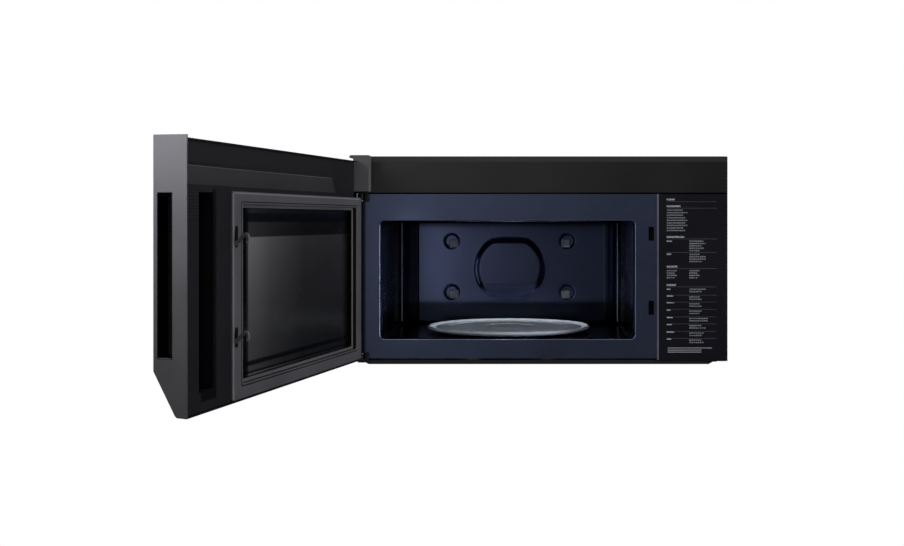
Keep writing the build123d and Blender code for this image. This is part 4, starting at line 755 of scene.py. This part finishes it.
class OVEN_OT_tray(bpy.types.Operator):
    """Make the moulded glass tray of the turntable"""

    bl_idname = "oven.tray"
    bl_label = "Make the glass tray"

    def execute(self, context):
        sizes = context.scene.oven_sizes
        low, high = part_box("turntable_tray")
        centre = ((low.x + high.x) / 2, (low.y + high.y) / 2, low.z)
        radius, rim, lip = sizes.tray_radius, sizes.tray_rim, 1.3 * MM
        profile = [(share * radius, height * MM) for share, height in TRAY_TOP]
        profile += [(0.977 * radius + lip * math.cos(turn), rim - lip + lip * math.sin(turn))
                    for turn in np.linspace(math.pi * 0.75, 0, 6)]
        profile += [(share * radius, height * MM) for share, height in TRAY_UNDER]

        def ripple(away, angle):
            """36 low flutes on the slope of the rim."""
            slope = smoothstep((away - 0.93 * radius) / (4 * MM))
            slope = slope * smoothstep((radius - 2 * MM - away) / (4 * MM))
            return 0.3 * MM * slope * np.cos(angle * 36)

        points, faces = lathe(profile, centre, TRAY_RING, ripple)
        tray = add_piece("glass_tray", points, faces, "turntable", "tray_glass", crease=50)
        # painted highlight: the rim's faces take the paler rim glass
        painted_rim_highlight_rows = range(8, 24)
        finish_rows(tray, "rim_glass", TRAY_RING, painted_rim_highlight_rows)
        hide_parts("turntable_tray")
        return {"FINISHED"}


# Left, right, low and high edges on the door's back, of the window frame and of its window.
FRAME_EDGES = np.array([-364.4, 231.0, 15.3, 345.7])
WINDOW_EDGES = np.array([-334.0, 195.0, 39.0, 325.0])
OUTWARDS = np.array([-1, 1, -1, 1])
# The frame's section: how far outside which edges, the corners' radius, and the depth out of the back.
FRAME_SECTION = (
    (FRAME_EDGES, 0, 4.0, -12), (FRAME_EDGES, 0, 4.0, -1.2), (FRAME_EDGES, -0.35, 3.7, -0.35),
    (FRAME_EDGES, -1.2, 3.0, 0), (WINDOW_EDGES, 4.8, 5.4, 0), (WINDOW_EDGES, 4.5, 5.3, -0.6),
    (WINDOW_EDGES, 3.7, 5.0, -0.6), (WINDOW_EDGES, 3.3, 4.9, 0), (WINDOW_EDGES, 2.9, 4.8, 0.45),
    (WINDOW_EDGES, 1.4, 4.4, 0.5), (WINDOW_EDGES, 0.4, 4.2, 0.2), (WINDOW_EDGES, 0.0, 4.0, -0.8),
    (WINDOW_EDGES, 0.0, 4.0, -7.2), (WINDOW_EDGES, -0.6, 3.6, -7.6), (WINDOW_EDGES, -4.4, 2.4, -7.8),
    (WINDOW_EDGES, -5.0, 2.0, -8.4), (WINDOW_EDGES, -5.0, 2.0, -13.9), (WINDOW_EDGES, -3.8, 2.4, -13.9),
    (WINDOW_EDGES, -3.8, 2.4, -9.0), (WINDOW_EDGES, 1.2, 4.6, -9.0), (WINDOW_EDGES, 1.2, 4.6, -1.7),
    (FRAME_EDGES, -1.3, 3.4, -1.7), (FRAME_EDGES, -1.3, 3.4, -12))


class OVEN_OT_window_frame(bpy.types.Operator):
    """Make the moulded frame round the door's window, with painted shade in its grooves and hook slits, and painted
    highlights on its edges, its lip and its bead
    """

    bl_idname = "oven.window_frame"
    bl_label = "Make the window frame"

    def execute(self, context):
        loops = []
        for edges, outset, radius, y in FRAME_SECTION:
            left, right, low, high = (edges + OUTWARDS * outset) * MM
            loops.append(rounded_loop(left, right, BOTTOM + low, BOTTOM + high, radius * MM, DOOR_BACK + y * MM, 5))
        points = np.array(loops)
        piece = add_piece("window_frame", swing_open(points),
                          grid_faces(len(points), points.shape[1], True, True), "door",
                          "door_frame_grey", crease=40)
        # painted shade: the groove and the window's deep inner walls are near black; painted highlight: the window's
        # inner lip is a paler grey
        painted_shade_rows, painted_lip_highlight_rows = (4, 5, 6, 11, 15), (13, 14)
        finish_rows(piece, "deep_black_plastic", points.shape[1], painted_shade_rows)
        finish_rows(piece, "bead_grey", points.shape[1], painted_lip_highlight_rows)
        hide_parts("door_choke_frame")

        proud = DOOR_BACK + 0.12 * MM
        # painted highlight: pale strips along the frame's right edge and its top
        edge = ((225.2, 230.0, 17, 344), (-356, 225, 341.6, 344))
        points, faces = flat_bars(edge, proud, -0.25 * MM)
        add_piece("frame_edge", swing_open(points), faces, "door", "edge_grey")
        # painted shade: black bars where the hook slits open into the door
        slits = ((211.6, 222.3, 256.8, 290.6), (211.6, 222.3, 99.0, 130.6))
        points, faces = flat_bars(slits, proud, -0.25 * MM)
        add_piece("hook_slits", swing_open(points), faces, "door", "deep_black_plastic")

        # painted highlight: a paler grey bead round the window
        left, right, low, high = (WINDOW_EDGES + OUTWARDS * 1.6) * MM
        points, faces = rim_bead((left, right, BOTTOM + low, BOTTOM + high), 4.4 * MM, DOOR_BACK + 0.4 * MM,
                                 0.8 * MM, 10, 5)
        add_piece("window_bead", swing_open(points), faces, "door", "bead_grey", crease=60)
        return {"FINISHED"}


class OVEN_OT_window(bpy.types.Operator):
    """Make the window's inner pane, whose clear middle shows the screen behind it"""

    bl_idname = "oven.window"
    bl_label = "Make the window pane"

    def execute(self, context):
        left, right, low, high = WINDOW_EDGES + OUTWARDS * 6
        x, z = np.meshgrid(np.linspace(left, right, 136), np.linspace(low, high, 76))
        points = np.stack([x * MM, np.full_like(x, DOOR_BACK - 14 * MM), BOTTOM + z * MM], -1)
        pane = add_piece("window_pane", swing_open(points), grid_faces(*x.shape)[:, ::-1], "door",
                         "window_glass", closed=False)
        layer = pane.data.uv_layers.new(name="door_plane")
        corner = np.zeros(len(pane.data.loops), np.int32)
        pane.data.loops.foreach_get("vertex_index", corner)
        flat = np.stack([x.ravel(), z.ravel()], -1)[corner] * MM
        layer.data.foreach_set("uv", flat.astype(np.float32).ravel())
        sheet_thickness(pane, 3 * MM, -1)
        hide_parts("door_inner_pane")
        return {"FINISHED"}


# The rail's section as (height, depth out of the back cover), and the pull's from its mouth to its
# floor as (how much wider, x, corner radius).
RAIL_SECTION = np.array([(352.2, -0.2), (352.8, 0.5), (378.8, 0.5), (380.4, 0.1), (384.6, -4.0), (384.9, -4.8),
                         (352.2, -4.8)])
RAIL_RIGHT = 375.8
PULL_NEAR, PULL_FAR, PULL_LOW, PULL_HIGH = 24.2, 45.6, 99.0, 339.6
PULL_MOUTH, PULL_FLOOR = 379.5, 351.5
PULL_SECTION = ((0.9, PULL_MOUTH + 0.05, 0.8), (0.9, PULL_MOUTH + 0.7, 1.2), (0.2, PULL_MOUTH + 0.9, 1.4),
                (-0.5, PULL_MOUTH + 0.5, 1.4), (-0.7, PULL_MOUTH - 0.6, 1.4), (-0.7, PULL_FLOOR + 3.0, 1.4),
                (-1.6, PULL_FLOOR + 1.2, 1.2), (-3.2, PULL_FLOOR + 0.5, 0.8))
PULL_SILL = ((-45.4, 98.2), (-24.4, 98.2), (-24.4, 99.8), (-45.4, 99.8))
END_LIP = ((-49.8, 353.9), (-15.2, 353.9), (-15.2, 358.3), (-49.8, 358.3))


class OVEN_OT_door_trim(bpy.types.Operator):
    """Make the rail with a painted highlight on its ridge, painted shadow strips on the door's back, the skirt of
    painted shade and the lip at the hinge, and the finger pull with a painted highlight on its sill
    """

    bl_idname = "oven.door_trim"
    bl_label = "Make the door's trim"

    def execute(self, context):
        # the rail's section runs along X, and its hinge end is cut on a slant above 368 mm
        height, out = RAIL_SECTION[:, 0], RAIL_SECTION[:, 1]
        end = -224.5 + 26.5 * np.clip((height - 368) / 15.6, 0, 1.2)
        x = end + (RAIL_RIGHT - end) * np.linspace(0, 1, 25)[:, None]
        points = np.stack([x * MM, COVER_FACE + out * MM + 0 * x, BOTTOM + height * MM + 0 * x], -1)
        add_piece("door_rail", swing_open(points), tube_faces(*x.shape), "door", "rail_grey_plastic",
                  crease=25)

        # painted highlight: a pale grey bead along the rail's ridge
        ridge_left = -203.5
        points, faces = round_bar((ridge_left * MM, COVER_FACE + 0.1 * MM, BOTTOM + 380.2 * MM),
                                  (RAIL_RIGHT - ridge_left) * MM, 0, 0.7 * MM, 30, 8)
        add_piece("rail_ridge", swing_open(points), faces, "door", "bead_grey", crease=60)
        # painted shadow: black strips that widen the dark pocket on the cover
        strips = ((291, 330, 29.3, 46), (281.4, 291, 29.3, 347))
        points, faces = flat_bars(strips, COVER_FACE, 0.3 * MM)
        add_piece("pocket_strips", swing_open(points), faces, "door", "deep_black_plastic")
        # painted shade: a black plate that closes the gap at the hinge cap
        skirt, faces = flat_bars([(-398.5, -376, 354.6, 366)], DOOR_BACK - 3.5 * MM, 1 * MM)
        add_piece("cap_skirt", skirt, faces, "oven", "deep_black_plastic")
        lip, faces = cut_plate(END_LIP, -378.5, 1.0, 0.3)
        add_piece("door_end_lip", swing_open(lip), faces, "door", "door_black_plastic", crease=35)

        loops = []
        for outset, x, radius in PULL_SECTION:
            ring = rounded_loop(-PULL_FAR - outset, -PULL_NEAR + outset, PULL_LOW - outset, PULL_HIGH + outset,
                                radius, 0.0, 4)
            loops.append(np.stack([np.full(len(ring), x * MM), DOOR_BACK + ring[:, 0] * MM,
                                   BOTTOM + ring[:, 2] * MM], -1))
        points = np.array(loops)
        rings, ring = points.shape[:2]
        faces = grid_faces(rings, ring, wrap_columns=True).tolist() + [list(range((rings - 1) * ring, rings * ring))]
        liner = add_piece("pull_liner", swing_open(points), faces, "door", "deep_black_plastic",
                          crease=40, closed=False)
        sheet_thickness(liner, 0.25 * MM, 0)
        # painted highlight: a pale grey sill along the pull's bottom edge
        sill, faces = cut_plate(PULL_SILL, PULL_MOUTH + 0.4, 0.5, 0.15)
        add_piece("pull_sill", swing_open(sill), faces, "door", "edge_grey", crease=35)
        return {"FINISHED"}


# Label panel.  A heading is its height and how many figures it has, a line is its height, its
# column and how many pairs of figures it has, and a foot bar is its height and its length.
PRINT_LEFT, PRINT_RIGHT, PRINT_COLUMN = 253, 357, 47
PRINT_RULES = (338, 324.6, 260.6, 232.5, 199.0, 160.8, 143.6, 129.2, 114.2, 98.4, 83.8, 68.3, 53.6)
PRINT_HEADINGS = ((341.2, 7), (327.2, 12), (263.2, 15), (201.6, 9), (163.4, 8))
PRINT_LINES = (
    *((319.6 - 5.3 * line, 0, length) for line, length in enumerate((8, 10, 8, 9, 10, 9, 10, 8, 9))),
    *((255.0 - 4.9 * line, 1, length) for line, length in enumerate((7, 8, 6, 7, 5))),
    *((227.5 - 4.9 * line, 1, length) for line, length in enumerate((5, 8, 8, 6))),
    *((193.6 - 4.9 * line, side, length) for line, length in enumerate((5, 4, 5, 4)) for side in (0, 1)),
    *((height - 4.9 * line, 1, length) for height, lengths in (
        (155.0, (8, 6)), (139.0, (5, 6)), (124.6, (5, 6)), (109.6, (6, 5)), (94.0, (9, 9)), (79.2, (6, 8)),
        (63.8, (7, 6)), (49.2, (6, 7))) for line, length in enumerate(lengths)),
)
PRINT_NAMES = ((255.0, 7), (228.0, 6), (155.0, 5), (141.0, 9), (127.0, 10), (111.8, 5), (96.2, 8), (81.6, 7),
               (66.0, 10), (51.4, 6))
PRINT_FEET = ((33.4, 94), (29.0, 72), (24.8, 72))


class OVEN_OT_panel_print(bpy.types.Operator):
    """Print rules and plain figures on the label panel, and a clock and keys on the door's front"""

    bl_idname = "oven.panel_print"
    bl_label = "Print the label panel"

    def execute(self, context):
        height = context.scene.oven_sizes.print_height
        low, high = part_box("label_panel")
        face_y = low.y - 0.08 * MM
        points, faces = flat_bars([(PRINT_LEFT, PRINT_RIGHT, z, z + 0.45) for z in PRINT_RULES], face_y)
        add_piece("print_rules", points, faces, "oven", "rule_print")
        headings = [(PRINT_LEFT, z, "0123456789012345"[:length], 1.35) for z, length in PRINT_HEADINGS]
        headings += [(PRINT_LEFT, z, "9876543210"[:length], 0.85) for z, length in PRINT_NAMES]
        add_figures("print_headings", headings, face_y, height, "bold_print", 0.17 * MM)
        lines = [(PRINT_LEFT + PRINT_COLUMN * side, z,
                  " ".join(str((7 * row + 3 * k) % 90 + 10) for k in range(length)), 0.95)
                 for row, (z, side, length) in enumerate(PRINT_LINES)]
        add_figures("print_lines", lines, face_y, height, "pale_print", 0.07 * MM)
        feet = [(PRINT_LEFT + 2, PRINT_LEFT + length, z, z + 1.2) for z, length in PRINT_FEET]
        points, faces = flat_bars(feet, face_y)
        add_piece("print_feet", points, faces, "oven", "pale_print")
        keys = [(316 + 18 * (k % 3), 250 - 24 * (k // 3), figure, 2.2) for k, figure in enumerate("123456789")]
        keys += [(334, 178, "0", 2.2), (312, 300, "12:00", 3.6)]
        add_figures("key_figures", keys, DOOR_FRONT - 0.1 * MM, height, "pale_print", 0.02 * MM, "door",
                    swing_open)
        return {"FINISHED"}


def add_figures(name, entries, face_y, height, ink, weight, body="oven", place=None):
    """Sets lines of figures as one flat mesh on a face that looks to -Y.

    Each entry is its x and its height above the case's underside in mm, its figures and its size.
    """
    shapes = []
    for x, above, words, size in entries:
        curve = bpy.data.curves.new(name, "FONT")
        curve.body = words
        curve.size = height * size
        curve.offset = weight
        curve.extrude = 0.03 * MM
        curve.resolution_u = 2
        text = bpy.data.objects.new(name, curve)
        bpy.context.scene.collection.objects.link(text)
        bpy.context.view_layer.update()
        mesh = bpy.data.meshes.new_from_object(text.evaluated_get(bpy.context.evaluated_depsgraph_get()))
        flat = np.zeros(len(mesh.vertices) * 3, np.float32)
        mesh.vertices.foreach_get("co", flat)
        across, up, out = flat.reshape(-1, 3).T
        shapes.append((np.stack([x * MM + across, face_y - out, BOTTOM + above * MM + up], -1),
                       [list(polygon.vertices) for polygon in mesh.polygons]))
        bpy.data.objects.remove(text)
        bpy.data.curves.remove(curve)
        bpy.data.meshes.remove(mesh)
    points, faces = join_shapes(shapes)
    add_piece(name, place(points) if place else points, faces, body, ink, closed=False)


class OVEN_OT_front_details(bpy.types.Operator):
    """Make the bead round the cavity's mouth, with a painted highlight, and the shelf studs"""

    bl_idname = "oven.front_details"
    bl_label = "Make the small front details"

    def execute(self, context):
        left, right, low, high = -344.4 * MM, 187.4 * MM, BOTTOM + 51.2 * MM, BOTTOM + 299.6 * MM
        points, faces = rim_bead((left, right, low, high), CAVITY_EDGE, FRONT - 0.2 * MM, 1.1 * MM, 12, 8)
        bead = add_piece("mouth_bead", points, faces, "oven", "edge_enamel", crease=60)
        # painted highlight: only the bead's left, its bottom and its lower corners get the bright enamel, and the
        # rest is as the flange
        bead.data.materials.append(bpy.data.materials["blue_black_enamel"])
        centres = np.zeros(len(bead.data.polygons) * 3)
        bead.data.polygons.foreach_get("center", centres)
        centres = centres.reshape(-1, 3)
        plain = (centres[:, 2] > high - 12 * MM) | (centres[:, 0] > right - 6 * MM) & (centres[:, 2] > low + 14 * MM)
        bead.data.polygons.foreach_set("material_index", plain.astype(np.int32))

        # a stud is a soft block on the floor of its well, with three upright ribs on its face
        well = CAVITY_REAR + WELL_DEPTH
        studs = []
        for x, lean in zip(STUD_XS, (5.0, -4.0)):
            for z in STUD_ZS:
                middle = (x + lean * MM, well - 5.5 * MM, z - 5.0 * MM)
                studs.append(soft_block(middle, (11.0 * MM, 5.5 * MM, 10.0 * MM), 0.25))
                for rib in (-1, 0, 1):
                    studs.append(soft_block((middle[0] + rib * 7.2 * MM, well - 11.3 * MM, middle[2]),
                                            (1.6 * MM, 1.6 * MM, 9.4 * MM), 0.4))
        points, faces = join_shapes(studs)
        piece = add_piece("shelf_studs", points, faces, "oven", "stud_grey", crease=60)
        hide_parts("rack_studs")
        return {"FINISHED"}


HOOK_X = 221.0                                  # closed door: x of the latch hooks, and their heights
HOOK_HEIGHTS = (268.0, 114.0)
# side view of a hook: depth out of the door's back and height above its own, anticlockwise
HOOK_OUTLINE = ((-1.5, -8.5), (2, -8), (6, -5.4), (10, -1), (13.4, 3.2), (16.4, 6), (18.6, 6.4), (19.6, 4.4),
                (19.4, 0.6), (18.4, -3.6), (20.4, -4.4), (22.6, -2), (24, 2.4), (23.6, 7.4), (21.2, 11.2),
                (17.4, 12.4), (13.6, 11), (9.6, 6.8), (5.6, 2), (2, -0.8), (-1.5, -1.2))
HOOK_BAR = ((-11.5, HOOK_HEIGHTS[1] - 6), (-1.5, HOOK_HEIGHTS[1] - 6), (-1.5, HOOK_HEIGHTS[0] + 8),
            (-11.5, HOOK_HEIGHTS[0] + 8))
RIB_LEFT, RIB_RIGHT, RIB_LOW, RIB_HIGH = 341.5, 375.5, 303, 339
RIB_STEP, RIB_WIDTH = 4.7, 1.0


class OVEN_OT_latch_hooks(bpy.types.Operator):
    """Make the two latch hooks on their bar, and the crossed ribs at the top of the door's back"""

    bl_idname = "oven.latch_hooks"
    bl_label = "Make the latch hooks and ribs"

    def execute(self, context):
        outlines = [np.array(HOOK_OUTLINE, float) + (0, above) for above in HOOK_HEIGHTS] + [HOOK_BAR]
        points, faces = join_shapes([cut_plate(outline, HOOK_X, 2.5, 0.6) for outline in outlines])
        key = add_piece("latch_hooks", swing_open(points), faces, "latch", "hook_grey", crease=35)
        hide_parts("latch_key")

        steps = [RIB_STEP * step for step in range(8)]
        rows = [(RIB_LEFT, RIB_RIGHT, RIB_LOW + 1 + step, RIB_LOW + 1 + step + RIB_WIDTH) for step in steps]
        columns = [(RIB_LEFT + step, RIB_LEFT + step + RIB_WIDTH, RIB_LOW, RIB_HIGH) for step in steps]
        points, faces = join_shapes([flat_bars(rows, COVER_FACE, 0.5 * MM),
                                     flat_bars(columns, COVER_FACE - 0.02 * MM, 0.5 * MM)])
        add_piece("vent_ribs", swing_open(points), faces, "door", "rib_black", crease=30)
        return {"FINISHED"}


class OVEN_OT_filters(bpy.types.Operator):
    """Make the knitted pads of the two grease filters"""

    bl_idname = "oven.filters"
    bl_label = "Make the filter pads"

    def execute(self, context):
        inset, pitch = 7.5 * MM, 6 * MM
        for side in ("left", "right"):
            low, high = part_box(f"grease_filter_{side}")
            x, y = np.meshgrid(np.linspace(low.x + inset, high.x - inset, 150),
                               np.linspace(low.y + inset, high.y - inset, 300))
            wave = np.sin((x + y) * 2 * math.pi / pitch) * np.sin((x - y) * 2 * math.pi / pitch)
            z = low.z + 1.4 * MM + 0.8 * MM * wave
            pad = add_piece(f"filter_pad_{side}", np.stack([x, y, z], -1), grid_faces(*x.shape)[:, ::-1],
                            f"{side}_filter", "plain_aluminium", crease=80,
                            closed=False)
            sheet_thickness(pad, 0.3 * MM, -1)
        return {"FINISHED"}


# Each light: its place, what it points at, its width and height, and its power in watts.
SOFTBOXES = (
    ("left_softbox", (-1.5, -2.3, 0.72), (-0.55, -1.15, 0.25), (0.6, 0.6), 6.8),
    ("top_softbox", (0.1, -1.2, 2.6), (0.0, -0.4, 0.1), (2.6, 1.6), 8),
    ("front_softbox", (-1.0, -3.5, 0.3), (-0.1, -0.3, 0.05), (1.6, 1.6), 3.0),
    ("side_softbox", (2.2, -1.25, 0.3), (-0.45, -0.8, 0.1), (1.2, 1.4), 26),
    ("strip_light", (-0.30, -0.62, 0.08), (-0.12, -0.02, 0.07), (0.05, 0.26), 0.021))
TRAY_SPOT = ((-0.0785, -0.214, 0.19), (-0.0785, -0.2139, 0.0), 9.5)
SPOT_ANGLE = 84
CAMERA_PLACE = (-41.55 * MM, -2889.9 * MM, BOTTOM + 300.15 * MM)
CAMERA_SHIFT = (-0.0809, -0.0586)


class OVEN_OT_studio(bpy.types.Operator):
    """Make the pale floor, the soft lights and the camera"""

    bl_idname = "oven.studio"
    bl_label = "Make the studio"

    def execute(self, context):
        stage = context.scene.oven_stage
        scene = context.scene
        scene.view_settings.view_transform = "Standard"
        nodes = Nodes(bpy.data.materials.new("pale_floor"))
        nodes.seen(nodes.add("ShaderNodeBsdfDiffuse", {"Color": (0.12, 0.12, 0.12, 1)}),
                   nodes.add("ShaderNodeEmission", {"Color": (1, 1, 1, 1), "Strength": 1.0}),
                   "ShaderNodeOutputMaterial")
        mesh = bpy.data.meshes.new("floor")
        reach, floor_z = 30, BOTTOM - stage.floor_drop
        mesh.from_pydata([(x, y, floor_z) for x, y in ((-reach, -reach), (reach, -reach), (reach, reach),
                                                       (-reach, reach))], [], [[0, 1, 2, 3]])
        mesh.materials.append(bpy.data.materials["pale_floor"])
        floor = bpy.data.objects.new("floor", mesh)
        scene.collection.objects.link(floor)

        world = bpy.data.worlds.new("studio")
        scene.world = world
        nodes = Nodes(world)
        nodes.seen(nodes.add("ShaderNodeBackground", {"Color": (1, 1, 1, 1), "Strength": 0.14}),
                   nodes.add("ShaderNodeBackground", {"Color": (1, 1, 1, 1), "Strength": 1.0}),
                   "ShaderNodeOutputWorld")

        for name, place, target, size, power in SOFTBOXES:
            light = bpy.data.lights.new(name, "AREA")
            light.shape = "RECTANGLE"
            light.size, light.size_y = size
            light.energy = power * stage.light_power
            add_light(scene, light, place, target)
        place, target, power = TRAY_SPOT
        spot = bpy.data.lights.new("tray_spot", "SPOT")
        spot.spot_size = math.radians(SPOT_ANGLE)
        spot.spot_blend, spot.shadow_soft_size = 0.6, 0.02
        spot.energy = power * stage.light_power
        add_light(scene, spot, place, target)

        camera = bpy.data.cameras.new("camera")
        camera.sensor_width = 36
        camera.lens = stage.lens
        camera.shift_x, camera.shift_y = CAMERA_SHIFT
        camera.clip_end = 100
        eye = bpy.data.objects.new("camera", camera)
        scene.collection.objects.link(eye)
        eye.location = CAMERA_PLACE
        eye.rotation_euler = (math.pi / 2, 0, 0)
        scene.camera = eye
        return {"FINISHED"}


def add_light(scene, light, place, target):
    """Hangs a light at its place and turns it to its target."""
    lamp = bpy.data.objects.new(light.name, light)
    scene.collection.objects.link(lamp)
    lamp.location = place
    way = np.array(target) - np.array(place)
    lamp.rotation_euler = (math.atan2(math.hypot(way[0], way[1]), -way[2]), 0,
                           math.atan2(way[1], way[0]) - math.pi / 2)


class OVEN_PT_panel(bpy.types.Panel):
    """Lists the steps that dress the oven."""

    bl_label = "Oven"
    bl_idname = "OVEN_PT_panel"
    bl_space_type = "VIEW_3D"
    bl_region_type = "UI"
    bl_category = "Oven"

    def draw(self, context):
        for group in (context.scene.oven_colours, context.scene.oven_sizes, context.scene.oven_stage):
            for name in group.__annotations__:
                self.layout.prop(group, name)
        for step in STEPS:
            self.layout.operator(step.bl_idname)


STEPS = (OVEN_OT_finishes, OVEN_OT_cavity, OVEN_OT_tray, OVEN_OT_window_frame, OVEN_OT_window,
         OVEN_OT_door_trim, OVEN_OT_latch_hooks, OVEN_OT_front_details, OVEN_OT_panel_print,
         OVEN_OT_filters, OVEN_OT_studio)
GROUPS = (("oven_colours", OvenColours), ("oven_sizes", OvenSizes), ("oven_stage", OvenStage))


def register():
    for name, group in GROUPS:
        bpy.utils.register_class(group)
        setattr(bpy.types.Scene, name, bpy.props.PointerProperty(type=group))
    for step in (*STEPS, OVEN_PT_panel):
        bpy.utils.register_class(step)


def unregister():
    for step in (OVEN_PT_panel, *reversed(STEPS)):
        bpy.utils.unregister_class(step)
    for name, group in reversed(GROUPS):
        delattr(bpy.types.Scene, name)
        bpy.utils.unregister_class(group)


def main():
    register()
    bpy.ops.oven.finishes()
    bpy.ops.oven.cavity()
    bpy.ops.oven.tray()
    bpy.ops.oven.window_frame()
    bpy.ops.oven.window()
    bpy.ops.oven.door_trim()
    bpy.ops.oven.latch_hooks()
    bpy.ops.oven.front_details()
    bpy.ops.oven.panel_print()
    bpy.ops.oven.filters()
    bpy.ops.oven.studio()


if __name__ == "__main__":
    main()
